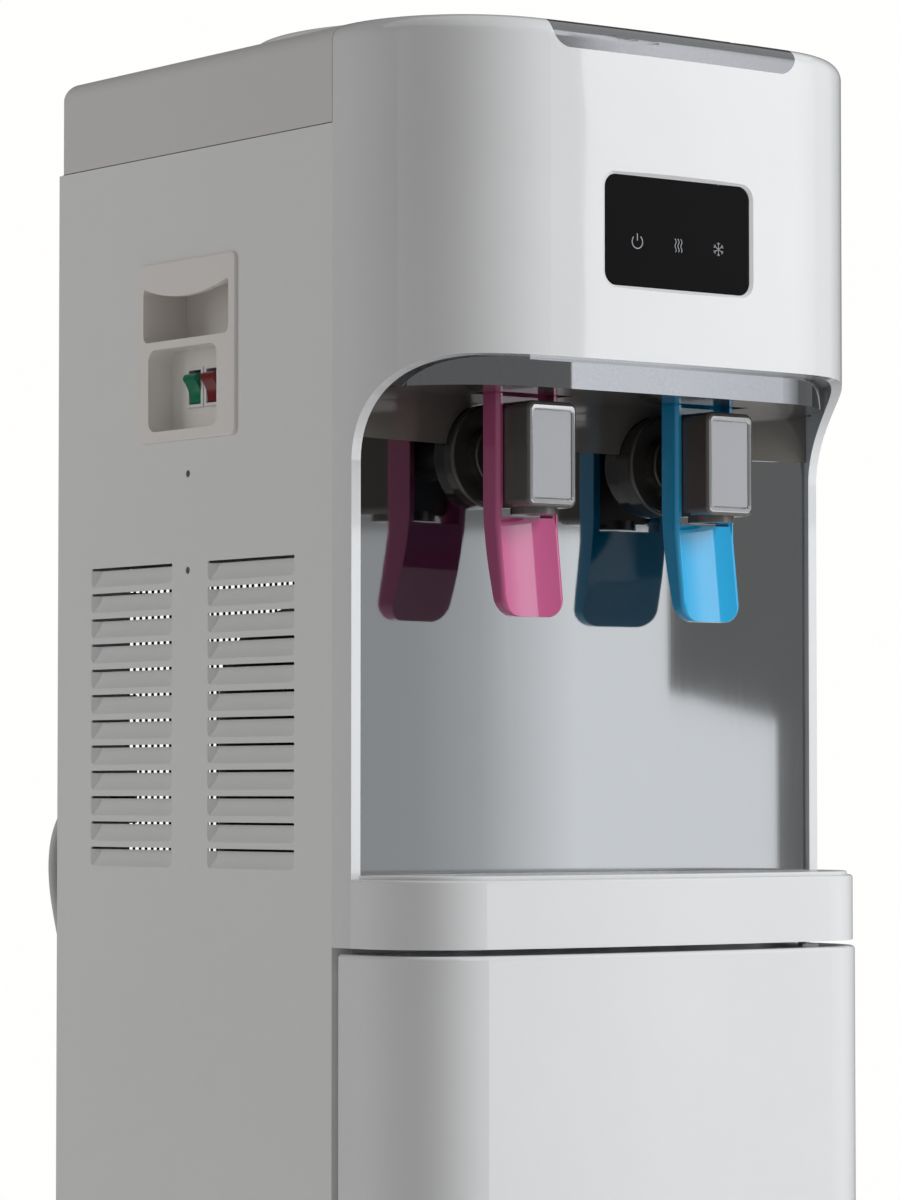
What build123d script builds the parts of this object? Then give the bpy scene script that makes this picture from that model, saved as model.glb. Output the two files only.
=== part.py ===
from build123d import *
from math import atan2, cos, degrees, pi, radians, sin, sqrt, tan
import os

os.makedirs("parts", exist_ok=True)

# Bottom load water cooler. +Z is up, the front faces -Y, and all sizes are millimetres.
# The seam is the upright plane where the side panels meet the front bezel.

# Overall sizes
body_width = 310.0
cabinet_depth = 253.4
head_reach = 85.4
rear_standoff = 28.0
seam_y = (head_reach - cabinet_depth - rear_standoff) / 2
rear_y = seam_y + cabinet_depth
half = body_width / 2
sheet = 1.0
shelf_sheet = 1.5
seam_gap = 0.5
fit_gap = 0.2

# Heights above the floor
foot_height = 14.0
pan_wall = 16.0
door_bottom = 34.0
door_top = 573.5
tray_bottom = 576.6
tray_top = 610.6
head_bottom = 869.6
cap_seam = 989.1
head_top = 1038.5
lid_rise = 16.5
tank_shelf_z = 786.0
shelf_top = 583.0

# Head and front bezel
head_bow = 1502.0
head_corner = 77.7
head_skin = 3.0
rim_skin = 5.6
column_depth = 15.5
arch_length = 59.5
arch_height = 51.0
top_round = 9.0
strip_inset = 11.3
strip_height = 14.7
strip_wall = 1.5
ceiling_wall = 2.0

# Door and drip tray
front_bow = 1180.0
front_corner = 47.0
door_reach = 78.2
tray_reach = 76.6
door_gap = 5.7
door_wall = 2.5
tray_wall = 2.5
liner_wall = 3.0

# Niche
niche_half = half - rim_skin
wall_sag = 17.4
wall_edge = 12.0
wall_sheet = 1.0
skirt_bottom = 830.5

# Taps and levers
tap_x = 58.8
tap_z = 823.3
tap_width = 31.6
tap_height = 53.4
tap_front = 56.0
tap_back = 31.0
barrel_radius = 11.0
barrel_z = 825.0
nozzle_radius = 12.0
nozzle_y = seam_y - 40.4
nozzle_drop = 3.2
nozzle_bore = 4.0
boss_radius = 26.7
boss_front = 7.0
collar_radius = 16.0
collar_front = 14.0
lever_width = 40.0
lever_wall = 3.5
lever_bottom = 742.0
lever_rear = 24.5
lever_front = 36.2
pivot_back = 30.0
pivot_z = 863.0
pin_radius = 2.5
running_gap = 0.05
plunger_z = 843.0
plunger_radius = 3.0


def behind(distance):
    """The Y of a plane that far behind the seam, or ahead of it when negative."""
    return seam_y + distance


def bowed_face(reach, bow, corner, half_width, back_y):
    """Plan face with flat sides, round front corners and a bowed front."""
    bow_y = seam_y - reach + bow
    corner_y = bow_y - sqrt((bow - corner) ** 2 - (half_width - corner) ** 2)
    corner_x = half_width - corner
    turn = atan2(corner_x, bow_y - corner_y)
    touch = (bow * sin(turn), bow_y - bow * cos(turn))
    middle = (turn + pi / 2) / 2
    bend = (corner_x + corner * sin(middle), corner_y - corner * cos(middle))
    with BuildSketch() as plan:
        with BuildLine():
            Line((-half_width, back_y), (-half_width, corner_y))
            ThreePointArc((-half_width, corner_y), (-bend[0], bend[1]), (-touch[0], touch[1]))
            ThreePointArc((-touch[0], touch[1]), (0, seam_y - reach), touch)
            ThreePointArc(touch, bend, (half_width, corner_y))
            Line((half_width, corner_y), (half_width, back_y))
            Line((half_width, back_y), (-half_width, back_y))
        make_face()
    return plan.sketch


def head_face(inset, back_y=seam_y):
    """Plan of the head, taken in by inset all round its front and sides."""
    return bowed_face(head_reach - inset, head_bow - inset, head_corner - inset, half - inset, back_y)


def wall_curve_y(x, ahead=0.0):
    """Y of the niche wall's front surface at x, or of a surface that far ahead of it."""
    radius = (niche_half**2 + wall_sag**2) / (2 * wall_sag)
    return behind(wall_sag - wall_edge - ahead) - radius + sqrt(radius**2 - x**2)


def wall_face(ahead, thickness, half_width):
    """Plan of a band that follows the niche wall, from ahead of its front backwards."""
    front = [wall_curve_y(x, ahead) for x in (half_width, 0)]
    back = [y + thickness for y in front]
    with BuildSketch() as plan:
        with BuildLine():
            ThreePointArc((-half_width, front[0]), (0, front[1]), (half_width, front[0]))
            Line((half_width, front[0]), (half_width, back[0]))
            ThreePointArc((half_width, back[0]), (0, back[1]), (-half_width, back[0]))
            Line((-half_width, back[0]), (-half_width, front[0]))
        make_face()
    return plan.sketch


def box_between(low, high):
    """A plain block from its lowest corner to its highest, as a loose solid."""
    size = [b - a for a, b in zip(low, high)]
    middle = [(a + b) / 2 for a, b in zip(low, high)]
    with BuildPart(mode=Mode.PRIVATE) as block:
        with Locations(tuple(middle)):
            Box(*size)
    return block.part


def save(piece, name):
    """Label a finished piece and write it."""
    piece.part.label = name
    export_step(piece.part, f"parts/{name}.step")


# Cabinet: floor pan, feet, side panels, rear sheets and shelves -------------------------------

pan_half = half - sheet - fit_gap
pan_front = behind(sheet + fit_gap)
pan_rear = rear_y - 2 * sheet - fit_gap
foot_x = 128.0
foot_inset = 28.0
foot_stem = 4.0
foot_pad = 17.0
foot_spots = [(sx * foot_x, y) for sx in (-1, 1) for y in (pan_front + foot_inset, pan_rear - foot_inset)]

with BuildPart() as base_plate:
    with BuildSketch(Plane.XY.offset(foot_height)):
        with Locations((0, (pan_front + pan_rear) / 2)):
            Rectangle(2 * pan_half, pan_rear - pan_front)
    extrude(amount=pan_wall)
    with BuildSketch(Plane.XY.offset(foot_height + shelf_sheet)):
        with Locations((0, (pan_front + pan_rear) / 2)):
            Rectangle(2 * (pan_half - shelf_sheet), pan_rear - pan_front - 2 * shelf_sheet)
    extrude(amount=pan_wall, mode=Mode.SUBTRACT)
    with BuildSketch(Plane.XY.offset(foot_height)):
        with Locations(*foot_spots):
            Circle(foot_stem + fit_gap)
    extrude(amount=shelf_sheet, mode=Mode.SUBTRACT)
save(base_plate, "base_plate")

foot_nut = 4.0
with BuildPart() as levelling_feet:
    with BuildSketch():
        with Locations(*foot_spots):
            Circle(foot_pad)
    extrude(amount=foot_height - foot_nut)
    chamfer(levelling_feet.edges().filter_by(GeomType.CIRCLE).group_by(Axis.Z)[-1], 2.5)
    with BuildSketch(Plane.XY.offset(foot_height - foot_nut)):
        with Locations(*foot_spots):
            RegularPolygon(8.0, 6)
    extrude(amount=foot_nut)
    with BuildSketch(Plane.XY.offset(foot_height)):
        with Locations(*foot_spots):
            Circle(foot_stem)
    extrude(amount=12.0)
save(levelling_feet, "levelling_feet")

# Louvres are scoops pressed into the side sheet, open along their top edge.
louvre_width = 79.2
louvre_pitch = 13.51
louvre_rows = 12
louvre_top = 773.4
louvre_height = 11.0
louvre_slit = 1.3
louvre_depth = 3.4
louvre_round = 4.0
louvre_slope = 1.5
louvre_columns = (71.0, 181.3)
louvre_spots = [
    (behind(column), louvre_top - row * louvre_pitch)
    for column in louvre_columns
    for row in range(louvre_rows)
]
scoop_height = louvre_height - louvre_slit
flange = 13.0
rear_flange = 46.0


def scoop_shape(inset, start):
    """Solid of one louvre from x=start inwards, on the left panel's outer face, top lip at z=0."""
    reach = louvre_depth + sheet - inset
    drop = scoop_height - inset
    with BuildPart(mode=Mode.PRIVATE) as scoop:
        with BuildSketch(Plane.XZ):
            with BuildLine():
                ThreePointArc((0, -drop), (0.7 * reach, -0.52 * drop), (reach, inset))
                Line((reach, inset), (start, inset))
                Line((start, inset), (start, -drop))
                if start < 0:
                    Line((start, -drop), (0, -drop))
            make_face()
        extrude(amount=louvre_width / 2 - inset, both=True)
        # the ends slope inwards, so the outline narrows with depth
        with BuildPart(mode=Mode.PRIVATE) as outline:
            for x in (start, reach + 0.5):
                with BuildSketch(Plane.YZ.offset(x)):
                    width = louvre_width - 2 * inset - 2 * louvre_slope * x
                    RectangleRounded(width, 2 * drop, louvre_round - inset)
            loft(ruled=True)
        add(outline.part, mode=Mode.INTERSECT)
    return scoop.part


insert_y = behind(128.5)
insert_z = 884.7
insert_width = 90.2
insert_height = 94.8
insert_round = 4.0
insert_rim = 3.5
screw_spots = [(behind(128.2), 819.6), (behind(128.2), 769.2)]
screw_radius = 1.8

scoop = scoop_shape(0.0, 0.0)
scoop_void = scoop_shape(sheet * 0.8, -1.0)


def side_sheet():
    """The left side panel with its louvres, insert opening and folded edges."""
    with BuildPart(mode=Mode.PRIVATE) as panel:
        add(box_between((-half, seam_y, foot_height), (-half + sheet, rear_y, cap_seam - seam_gap)))
        add(box_between((-half, seam_y, foot_height), (-half + flange, behind(sheet), cap_seam - seam_gap)))
        add(box_between((-half, rear_y - sheet, foot_height), (-half + rear_flange, rear_y, cap_seam - seam_gap)))
        with BuildSketch(Plane.YZ.offset(-half)):
            with Locations((insert_y, insert_z)):
                RectangleRounded(insert_width - 2 * insert_rim, insert_height - 2 * insert_rim, insert_round)
            with Locations(*screw_spots):
                Circle(screw_radius + 0.1)
        extrude(amount=sheet, mode=Mode.SUBTRACT)
        spots = [(-half, y, z - louvre_slit) for y, z in louvre_spots]
        with Locations(*spots):
            add(scoop)
        with Locations(*spots):
            add(scoop_void, mode=Mode.SUBTRACT)
        with BuildSketch(Plane.YZ.offset(-half - 1)):
            with Locations(*[(y, z - louvre_slit / 2) for y, z in louvre_spots]):
                Rectangle(louvre_width - 2.4, louvre_slit)
        extrude(amount=sheet + 2, mode=Mode.SUBTRACT)
    return panel.part


left_sheet = side_sheet()

cord_x = -115.5
cord_exit_z = 652.0
relief_hole = 6.0
tab_width = 23.0
tab_height = 30.0

with BuildPart() as side_panel_left:
    add(left_sheet)
    tab_low = (-half + rear_flange, rear_y - sheet, cord_exit_z - tab_height / 2)
    add(box_between(tab_low, (cord_x + tab_width / 2, rear_y, cord_exit_z + tab_height / 2)))
    with BuildSketch(Plane.XZ.offset(-rear_y)):
        with Locations((cord_x, cord_exit_z)):
            Circle(relief_hole)
    extrude(amount=sheet, mode=Mode.SUBTRACT)
save(side_panel_left, "side_panel_left")

# The hinge brackets pass through notches in the right panel's front fold.
bracket_sheet = 1.6
bracket_top_z = door_top + 0.8
bracket_bottom_z = door_bottom - 0.8 - bracket_sheet
bracket_width = 22.0
notch_gap = 0.3

with BuildPart() as side_panel_right:
    add(left_sheet.mirror(Plane.YZ))
    for z in (bracket_top_z, bracket_bottom_z):
        low = (half - flange - 1, seam_y - 1, z - notch_gap)
        high = (half - sheet, behind(sheet) + 1, z + bracket_sheet + notch_gap)
        add(box_between(low, high), mode=Mode.SUBTRACT)
save(side_panel_right, "side_panel_right")

with BuildPart() as panel_screws:
    for side in (-1, 1):
        with BuildSketch(Plane.YZ.offset(side * (half - 0.3))):
            with Locations(*screw_spots):
                Circle(screw_radius)
        extrude(amount=-side * 9.0)
save(panel_screws, "panel_screws")

rear_sheet_y = rear_y - 2 * sheet
with BuildPart() as rear_panel:
    low = (-pan_half, rear_sheet_y, foot_height + pan_wall + fit_gap)
    add(box_between(low, (pan_half, rear_sheet_y + sheet, shelf_top - 14)))
    with BuildSketch(Plane.XZ.offset(-rear_sheet_y)):
        for z in (180.0, 330.0, 480.0):
            with Locations((0, z)):
                SlotOverall(180, 6)
    extrude(amount=-0.4, mode=Mode.SUBTRACT)
save(rear_panel, "rear_panel")

drain_x = -71.0
drain_z = 819.0
drain_radius = 9.0
with BuildPart() as rear_cover:
    low = (-pan_half, rear_sheet_y, tank_shelf_z - 10)
    add(box_between(low, (pan_half, rear_sheet_y + sheet, cap_seam)))
    with BuildSketch(Plane.XZ.offset(-rear_sheet_y)):
        with Locations((drain_x, drain_z)):
            Circle(drain_radius + 1.0)
    extrude(amount=-2 * sheet, both=True, mode=Mode.SUBTRACT)
save(rear_cover, "rear_cover")

# Machine shelf, the roof of the bottle bay; its deep front fold is what the door seals on.
shelf_fold = 26.0
hose_x = 112.0
hose_y = behind(215.0)
hose_radius = 5.0
shelf_rear = rear_sheet_y - fit_gap
with BuildPart() as machine_shelf:
    low_z = shelf_top - shelf_sheet
    add(box_between((-pan_half, behind(sheet + 0.1), low_z), (pan_half, shelf_rear, shelf_top)))
    front_half = half - flange - fit_gap
    low = (-front_half, seam_y, shelf_top - shelf_fold)
    add(box_between(low, (front_half, behind(sheet + 0.1), shelf_top)))
    for side in (-1, 1):
        edges = sorted((side * pan_half, side * (pan_half - shelf_sheet)))
        low = (edges[0], behind(16.0), shelf_top - 12)
        add(box_between(low, (edges[1], shelf_rear, shelf_top)))
    with BuildSketch(Plane.XY.offset(shelf_top - shelf_sheet)):
        with Locations((hose_x, hose_y)):
            Circle(hose_radius + 1.5)
    extrude(amount=shelf_sheet, mode=Mode.SUBTRACT)
save(machine_shelf, "machine_shelf")

niche_back = behind(wall_sag - wall_edge + wall_sheet)
shelf_front = niche_back + 4.0
tube_radius = 5.0
line_radius = 2.6
cold_x = 50.0
cold_y = behind(132.0)
cold_radius = 54.0
coil_radius = cold_radius + line_radius + 0.8
line_x = cold_x + coil_radius
with BuildPart() as tank_shelf:
    add(box_between((-pan_half, shelf_front, tank_shelf_z), (pan_half, shelf_rear, tank_shelf_z + shelf_sheet)))
    for side in (-1, 1):
        edges = sorted((side * pan_half, side * (pan_half - shelf_sheet)))
        low = (edges[0], shelf_front, tank_shelf_z - 10)
        add(box_between(low, (edges[1], shelf_rear, tank_shelf_z)))
    low = (-pan_half, shelf_front, tank_shelf_z - 10)
    add(box_between(low, (pan_half, shelf_front + shelf_sheet, tank_shelf_z)))
    with BuildSketch(Plane.XY.offset(tank_shelf_z)):
        with Locations((hose_x, hose_y)):
            Circle(tube_radius + 1.5)
        with Locations((line_x, cold_y)):
            Circle(line_radius + 1.5)
    extrude(amount=shelf_sheet, mode=Mode.SUBTRACT)
save(tank_shelf, "tank_shelf")

# Top cover and its round lid -------------------------------------------------------------------

cover_wall = 2.5
lid_y = behind(117.0)
lid_radius = 101.0
lid_hole = 92.0
lid_plug = 90.0
cover_front = behind(seam_gap)
cover_middle = (cover_front + rear_y) / 2


def rounded_block(inset, low_z, high_z, round_radius):
    """Block over the cabinet with its side and rear top edges rounded."""
    with BuildPart(mode=Mode.PRIVATE) as block:
        low = (-half + inset, cover_front + inset, low_z)
        add(box_between(low, (half - inset, rear_y - inset, high_z)))
        corners = block.edges().filter_by(Axis.Z).group_by(Axis.Y)[-1]
        fillet(corners, 6.0 - inset)
        top = block.faces().sort_by(Axis.Z)[-1]
        front = top.edges().sort_by(Axis.Y)[0]
        fillet([e for e in top.edges() if e.distance_to(front.center()) > 1e-3], round_radius)
    return block.part


with BuildPart() as top_cover:
    add(rounded_block(0.0, cap_seam, head_top, top_round))
    add(rounded_block(cover_wall, cap_seam, head_top - cover_wall, top_round - cover_wall), mode=Mode.SUBTRACT)
    with BuildSketch(Plane.XY.offset(head_top - cover_wall - 1)):
        with Locations((0, lid_y)):
            Circle(lid_hole)
    extrude(amount=cover_wall + 2, mode=Mode.SUBTRACT)
    with BuildSketch(Plane.XY.offset(head_top)):
        with Locations((0, lid_y)):
            Circle(lid_radius - 3)
            Circle(lid_hole, mode=Mode.SUBTRACT)
    extrude(amount=3.0)
save(top_cover, "top_cover")

lid_base = head_top + 3.0
with BuildPart() as top_lid:
    with BuildSketch(Plane.XY.offset(lid_base)):
        with Locations((0, lid_y)):
            Circle(lid_radius)
    extrude(amount=lid_rise - 3.0)
    fillet(top_lid.edges().group_by(Axis.Z)[-1], 4.5)
    with BuildSketch(Plane.XY.offset(lid_base - 10)):
        with Locations((0, lid_y)):
            Circle(lid_plug)
    extrude(amount=10)
    with BuildSketch(Plane.XY.offset(lid_base - 10)):
        with Locations((0, lid_y)):
            Circle(lid_plug - 2.5)
    extrude(amount=10 + lid_rise - 3.0 - 3.0, mode=Mode.SUBTRACT)
save(top_lid, "top_lid")

# Front bezel: the head, the two columns and the rail that the tray hooks into ------------------

window_width = 95.0
window_height = 55.35
window_z = 935.2
window_round = 7.0
window_wall = 1.6
window_recess = 1.7
bevel = 4.4
trim_half = 80.6
trim_low = 1024.0
trim_wall = 1.2
trim_round = 11.5
arch_start = head_bottom - arch_height
rail_top = tray_bottom + 23.0
tongue_x = 92.0
tongue_width = 34.0
tongue_wall = 5.0
tongue_z = tray_bottom + 13.0
tongue_depth = 46.0


def head_block(inset):
    """The head as a solid with its top edge rounded, taken in by inset."""
    with BuildPart(mode=Mode.PRIVATE) as block:
        with BuildSketch(Plane.XY.offset(tray_bottom)):
            add(head_face(inset))
        extrude(amount=head_top - inset - tray_bottom)
        top = block.faces().sort_by(Axis.Z)[-1]
        back = top.edges().sort_by(Axis.Y)[-1]
        fillet([e for e in top.edges() if e.distance_to(back.center()) > 1e-3], top_round - inset)
    return block.part


def trim_prism():
    """Front view of the trim, run back through the head's top edge."""
    with BuildPart(mode=Mode.PRIVATE) as prism:
        with BuildSketch(Plane.XZ.offset(-behind(-62.0))):
            with Locations((0, trim_low + 30)):
                RectangleRounded(2 * trim_half, 60, trim_round)
        extrude(amount=40)
    return prism.part


with BuildPart() as top_trim:
    add(head_block(0.0))
    add(head_block(trim_wall), mode=Mode.SUBTRACT)
    add(trim_prism(), mode=Mode.INTERSECT)
save(top_trim, "top_trim")

with BuildPart() as front_panel:
    add(head_block(0.0))
    # hollow of the head, open at the seam
    with BuildSketch(Plane.XY.offset(head_bottom + head_skin)):
        add(head_face(head_skin, seam_y + 1))
    extrude(amount=head_top - head_skin - head_bottom - head_skin, mode=Mode.SUBTRACT)
    # opening through the head's floor, and the space between the columns
    with BuildSketch(Plane.XY.offset(head_bottom - 1)):
        add(head_face(strip_inset - 0.05, seam_y + 1))
    extrude(amount=head_skin + 2, mode=Mode.SUBTRACT)
    with BuildSketch(Plane.XY.offset(tray_bottom - 1)):
        add(head_face(rim_skin, seam_y + 1))
    extrude(amount=head_bottom - tray_bottom + 1, mode=Mode.SUBTRACT)
    # the arch, seen from the side, that frees the columns from the head
    with BuildSketch(Plane.YZ.offset(-half - 1)):
        with BuildLine():
            Line((behind(-column_depth), tray_bottom - 1), (behind(-column_depth), arch_start))
            centre = (behind(-column_depth - arch_length), arch_start)
            EllipticalCenterArc(centre, arch_length, arch_height, 0, arc_size=90)
            Line((centre[0], head_bottom), (behind(-head_reach - 1), head_bottom))
            Line((behind(-head_reach - 1), head_bottom), (behind(-head_reach - 1), tray_bottom - 1))
            Line((behind(-head_reach - 1), tray_bottom - 1), (behind(-column_depth), tray_bottom - 1))
        make_face()
    extrude(amount=body_width + 2, mode=Mode.SUBTRACT)
    # rail between the feet of the columns
    rail_back = wall_curve_y(niche_half) + 0.1
    add(box_between((-niche_half - 1, rail_back, tray_bottom), (niche_half + 1, seam_y, rail_top)))
    for side in (-1, 1):
        low = (side * tongue_x - tongue_width / 2 - 0.5, rail_back - 2, tongue_z - 0.5)
        high = (side * tongue_x + tongue_width / 2 + 0.5, seam_y + 2, tongue_z + tongue_wall + 0.5)
        add(box_between(low, high), mode=Mode.SUBTRACT)
    # recess for the window, with sloping sides, and the opening behind it
    with BuildSketch(Plane.XZ.offset(-behind(-head_reach + window_recess))) as seat:
        with Locations((0, window_z)):
            RectangleRounded(window_width + 0.6, window_height + 0.6, window_round)
    with BuildSketch(Plane.XZ.offset(-behind(-head_reach - 0.05))) as mouth:
        with Locations((0, window_z)):
            RectangleRounded(window_width + 2 * bevel, window_height + bevel, window_round + 2)
    loft(mode=Mode.SUBTRACT)
    with BuildSketch(Plane.XZ.offset(-behind(-head_reach + 8))):
        with Locations((0, window_z)):
            RectangleRounded(window_width + 0.6, window_height + 0.6, window_round)
    extrude(amount=8 - window_recess + 0.05, mode=Mode.SUBTRACT)
    add(top_trim.part, mode=Mode.SUBTRACT)
save(front_panel, "front_panel")

window_front = behind(-head_reach + window_recess)
with BuildPart() as display_window:
    with BuildSketch(Plane.XZ.offset(-window_front)):
        with Locations((0, window_z)):
            RectangleRounded(window_width, window_height, window_round - 0.3)
    extrude(amount=-window_wall)
    fillet(display_window.faces().sort_by(Axis.Y)[0].edges(), 0.3)
save(display_window, "display_window")

board_wall = 1.6
led_x = 25.4
with BuildPart() as control_board:
    with BuildSketch(Plane.XZ.offset(-window_front - window_wall - 3)):
        with Locations((0, window_z)):
            Rectangle(window_width - 8, window_height - 8)
            with GridLocations(window_width - 16, window_height - 16, 2, 2):
                Circle(1.6, mode=Mode.SUBTRACT)
    extrude(amount=-board_wall)
    with BuildSketch(Plane.XZ.offset(-window_front - window_wall - 3)):
        for x in (-led_x, 0, led_x):
            with Locations((x, window_z - 4)):
                Rectangle(5, 5)
    extrude(amount=2.4)
    with BuildSketch(Plane.XZ.offset(-window_front - window_wall - 3 - board_wall)):
        with Locations((0, window_z - 6)):
            Rectangle(14, 14)
        with Locations((30, window_z + 12)):
            Rectangle(18, 7)
    extrude(amount=-5)
save(control_board, "control_board")

# Silver strip under the head, and the dark ceiling shroud behind it
ceiling_z = head_bottom - strip_height
strip_back = behind(-column_depth - 3)
with BuildPart() as head_strip:
    with BuildSketch(Plane.XY.offset(ceiling_z)):
        add(head_face(strip_inset))
        add(head_face(strip_inset + strip_wall, seam_y + 1), mode=Mode.SUBTRACT)
        with Locations((0, (strip_back + seam_y) / 2)):
            Rectangle(body_width, seam_y - strip_back, mode=Mode.SUBTRACT)
    extrude(amount=strip_height + head_skin)
save(head_strip, "head_strip")

slot_half = 26.5
slot_back = 20.0
slot_front = 40.0
ear_wall = 3.0
ear_x = slot_half + 0.5
ear_height = pivot_z + 5 - ceiling_z
with BuildPart() as ceiling_shroud:
    with BuildSketch(Plane.XY.offset(ceiling_z)):
        add(head_face(rim_skin + fit_gap))
        with Locations((0, strip_back - 100)):
            Rectangle(body_width, 200, mode=Mode.SUBTRACT)
        add(head_face(strip_inset + strip_wall + 0.1))
        with Locations((0, behind(3))):
            Rectangle(2 * (niche_half - fit_gap), 6)
    extrude(amount=ceiling_wall)
    with BuildSketch(Plane.XY.offset(ceiling_z)):
        add(wall_face(fit_gap + 1.0, 40.0, half + 1))
    extrude(amount=ceiling_wall, mode=Mode.SUBTRACT)
    with BuildSketch(Plane.XY.offset(skirt_bottom)):
        add(wall_face(ceiling_wall + fit_gap, ceiling_wall, niche_half - 1.2))
    extrude(amount=ceiling_z - skirt_bottom + ceiling_wall)
    for side in (-1, 1):
        for edge in (-1, 1):
            low_x = side * tap_x + edge * (ear_x + ear_wall / 2) - ear_wall / 2
            low = (low_x, behind(-pivot_back - 8), ceiling_z)
            high = (low_x + ear_wall, behind(-pivot_back + 8), ceiling_z + ear_height)
            add(box_between(low, high))
        low = (side * tap_x - slot_half, behind(-slot_front), ceiling_z - 1)
        high = (side * tap_x + slot_half, behind(-slot_back), ceiling_z + ceiling_wall + 1)
        add(box_between(low, high), mode=Mode.SUBTRACT)
        with BuildSketch(Plane.YZ.offset(side * tap_x - 40)):
            with Locations((behind(-pivot_back), pivot_z)):
                Circle(pin_radius)
        extrude(amount=80, mode=Mode.SUBTRACT)
        with BuildSketch(Plane.XZ.offset(-behind(20))):
            with Locations((side * tap_x, barrel_z)):
                Circle(boss_radius + 0.4)
        extrude(amount=40, mode=Mode.SUBTRACT)
save(ceiling_shroud, "ceiling_shroud")

# Silver wall of the niche, one bent sheet behind the taps
wall_low = rail_top + 0.3
with BuildPart() as niche_wall:
    with BuildSketch(Plane.XY.offset(wall_low)):
        add(wall_face(0.0, wall_sheet, niche_half - 0.8))
    extrude(amount=head_bottom - 2 - wall_low)
    with BuildSketch(Plane.XZ.offset(-behind(20))):
        with Locations((-tap_x, barrel_z), (tap_x, barrel_z)):
            Circle(barrel_radius + 0.5)
        with Locations((-tap_x, plunger_z), (tap_x, plunger_z)):
            Circle(plunger_radius + 0.5)
    extrude(amount=40, mode=Mode.SUBTRACT)
save(niche_wall, "niche_wall")

# Taps ------------------------------------------------------------------------------------------

tap_round = 4.5
face_width = 28.7
face_height = 50.3
plate_width = 24.6
plate_height = 44.0
frame_wall = 1.4
plate_wall = 0.7
tail_radius = 8.0
tail_end = 34.0

with BuildPart() as tap_bodies:
    with BuildSketch(Plane.XZ.offset(-behind(-tap_back))):
        with Locations((-tap_x, tap_z), (tap_x, tap_z)):
            RectangleRounded(tap_width, tap_height, tap_round)
    extrude(amount=tap_front - tap_back)
    fillet(tap_bodies.faces().group_by(Axis.Y)[0].edges(), 2.2)
    with BuildSketch(Plane.XZ.offset(-behind(-tap_front + 5))):
        with Locations((-tap_x, barrel_z), (tap_x, barrel_z)):
            Circle(barrel_radius)
    extrude(amount=-(tap_front - 5 + wall_sag - wall_edge - 1.0))
    with BuildSketch(Plane.XZ.offset(-behind(0))):
        with Locations((-tap_x, barrel_z), (tap_x, barrel_z)):
            Circle(tail_radius)
    extrude(amount=-tail_end)
    nozzle_low = tap_z - tap_height / 2 - nozzle_drop
    with BuildSketch(Plane.XY.offset(nozzle_low)):
        with Locations((-tap_x, nozzle_y), (tap_x, nozzle_y)):
            Circle(nozzle_radius)
    extrude(amount=nozzle_drop + 2)
    with BuildSketch(Plane.XY.offset(nozzle_low - 1)):
        with Locations((-tap_x, nozzle_y), (tap_x, nozzle_y)):
            Circle(nozzle_bore)
    extrude(amount=barrel_z + nozzle_bore + 1 - nozzle_low, mode=Mode.SUBTRACT)
    with BuildSketch(Plane.XZ.offset(-nozzle_y)):
        with Locations((-tap_x, barrel_z), (tap_x, barrel_z)):
            Circle(nozzle_bore - 0.6)
    extrude(amount=-100, mode=Mode.SUBTRACT)
    with BuildSketch(Plane.XZ.offset(-behind(-tap_front + frame_wall))):
        with Locations((-tap_x, tap_z), (tap_x, tap_z)):
            RectangleRounded(face_width + 0.2, face_height + 0.2, 3.0)
    extrude(amount=frame_wall, mode=Mode.SUBTRACT)
save(tap_bodies, "tap_bodies")

with BuildPart() as tap_face_frames:
    with BuildSketch(Plane.XZ.offset(-behind(-tap_front + frame_wall))):
        with Locations((-tap_x, tap_z), (tap_x, tap_z)):
            RectangleRounded(face_width, face_height, 2.9)
            RectangleRounded(plate_width + 0.2, plate_height + 0.2, 1.4, mode=Mode.SUBTRACT)
    extrude(amount=frame_wall + 0.5)
    chamfer(tap_face_frames.faces().group_by(Axis.Y)[0].edges(), 0.8, 0.7)
save(tap_face_frames, "tap_face_frames")

with BuildPart() as tap_face_plates:
    with BuildSketch(Plane.XZ.offset(-behind(-tap_front + frame_wall))):
        with Locations((-tap_x, tap_z), (tap_x, tap_z)):
            RectangleRounded(plate_width, plate_height, 1.3)
    extrude(amount=plate_wall)
save(tap_face_plates, "tap_face_plates")

# Round bosses that clamp the barrels to the niche wall
with BuildPart() as tap_bosses:
    with BuildSketch(Plane.XZ.offset(-behind(10))):
        with Locations((-tap_x, barrel_z), (tap_x, barrel_z)):
            Circle(boss_radius)
    extrude(amount=10 + boss_front)
    fillet(tap_bosses.edges().group_by(Axis.Y)[0], 2.0)
    with BuildSketch(Plane.XZ.offset(-behind(-boss_front))):
        with Locations((-tap_x, barrel_z), (tap_x, barrel_z)):
            Circle(boss_radius - 5)
    extrude(amount=-2.0, mode=Mode.SUBTRACT)
    with BuildSketch(Plane.XZ.offset(-behind(-boss_front + 2))):
        with Locations((-tap_x, barrel_z), (tap_x, barrel_z)):
            Circle(collar_radius)
    extrude(amount=collar_front - boss_front + 2)
    fillet(tap_bosses.edges().group_by(Axis.Y)[0], 1.5)
    with BuildSketch(Plane.XZ.offset(-behind(40))):
        with Locations((-tap_x, barrel_z), (tap_x, barrel_z)):
            Circle(barrel_radius + 0.1)
        with Locations((-tap_x, plunger_z), (tap_x, plunger_z)):
            Circle(plunger_radius + 0.1)
    extrude(amount=80, mode=Mode.SUBTRACT)
    with BuildSketch(Plane.XY.offset(barrel_z - 40)):
        add(wall_face(0.05, 60.0, niche_half))
    extrude(amount=80, mode=Mode.SUBTRACT)
save(tap_bosses, "tap_bosses")

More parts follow.
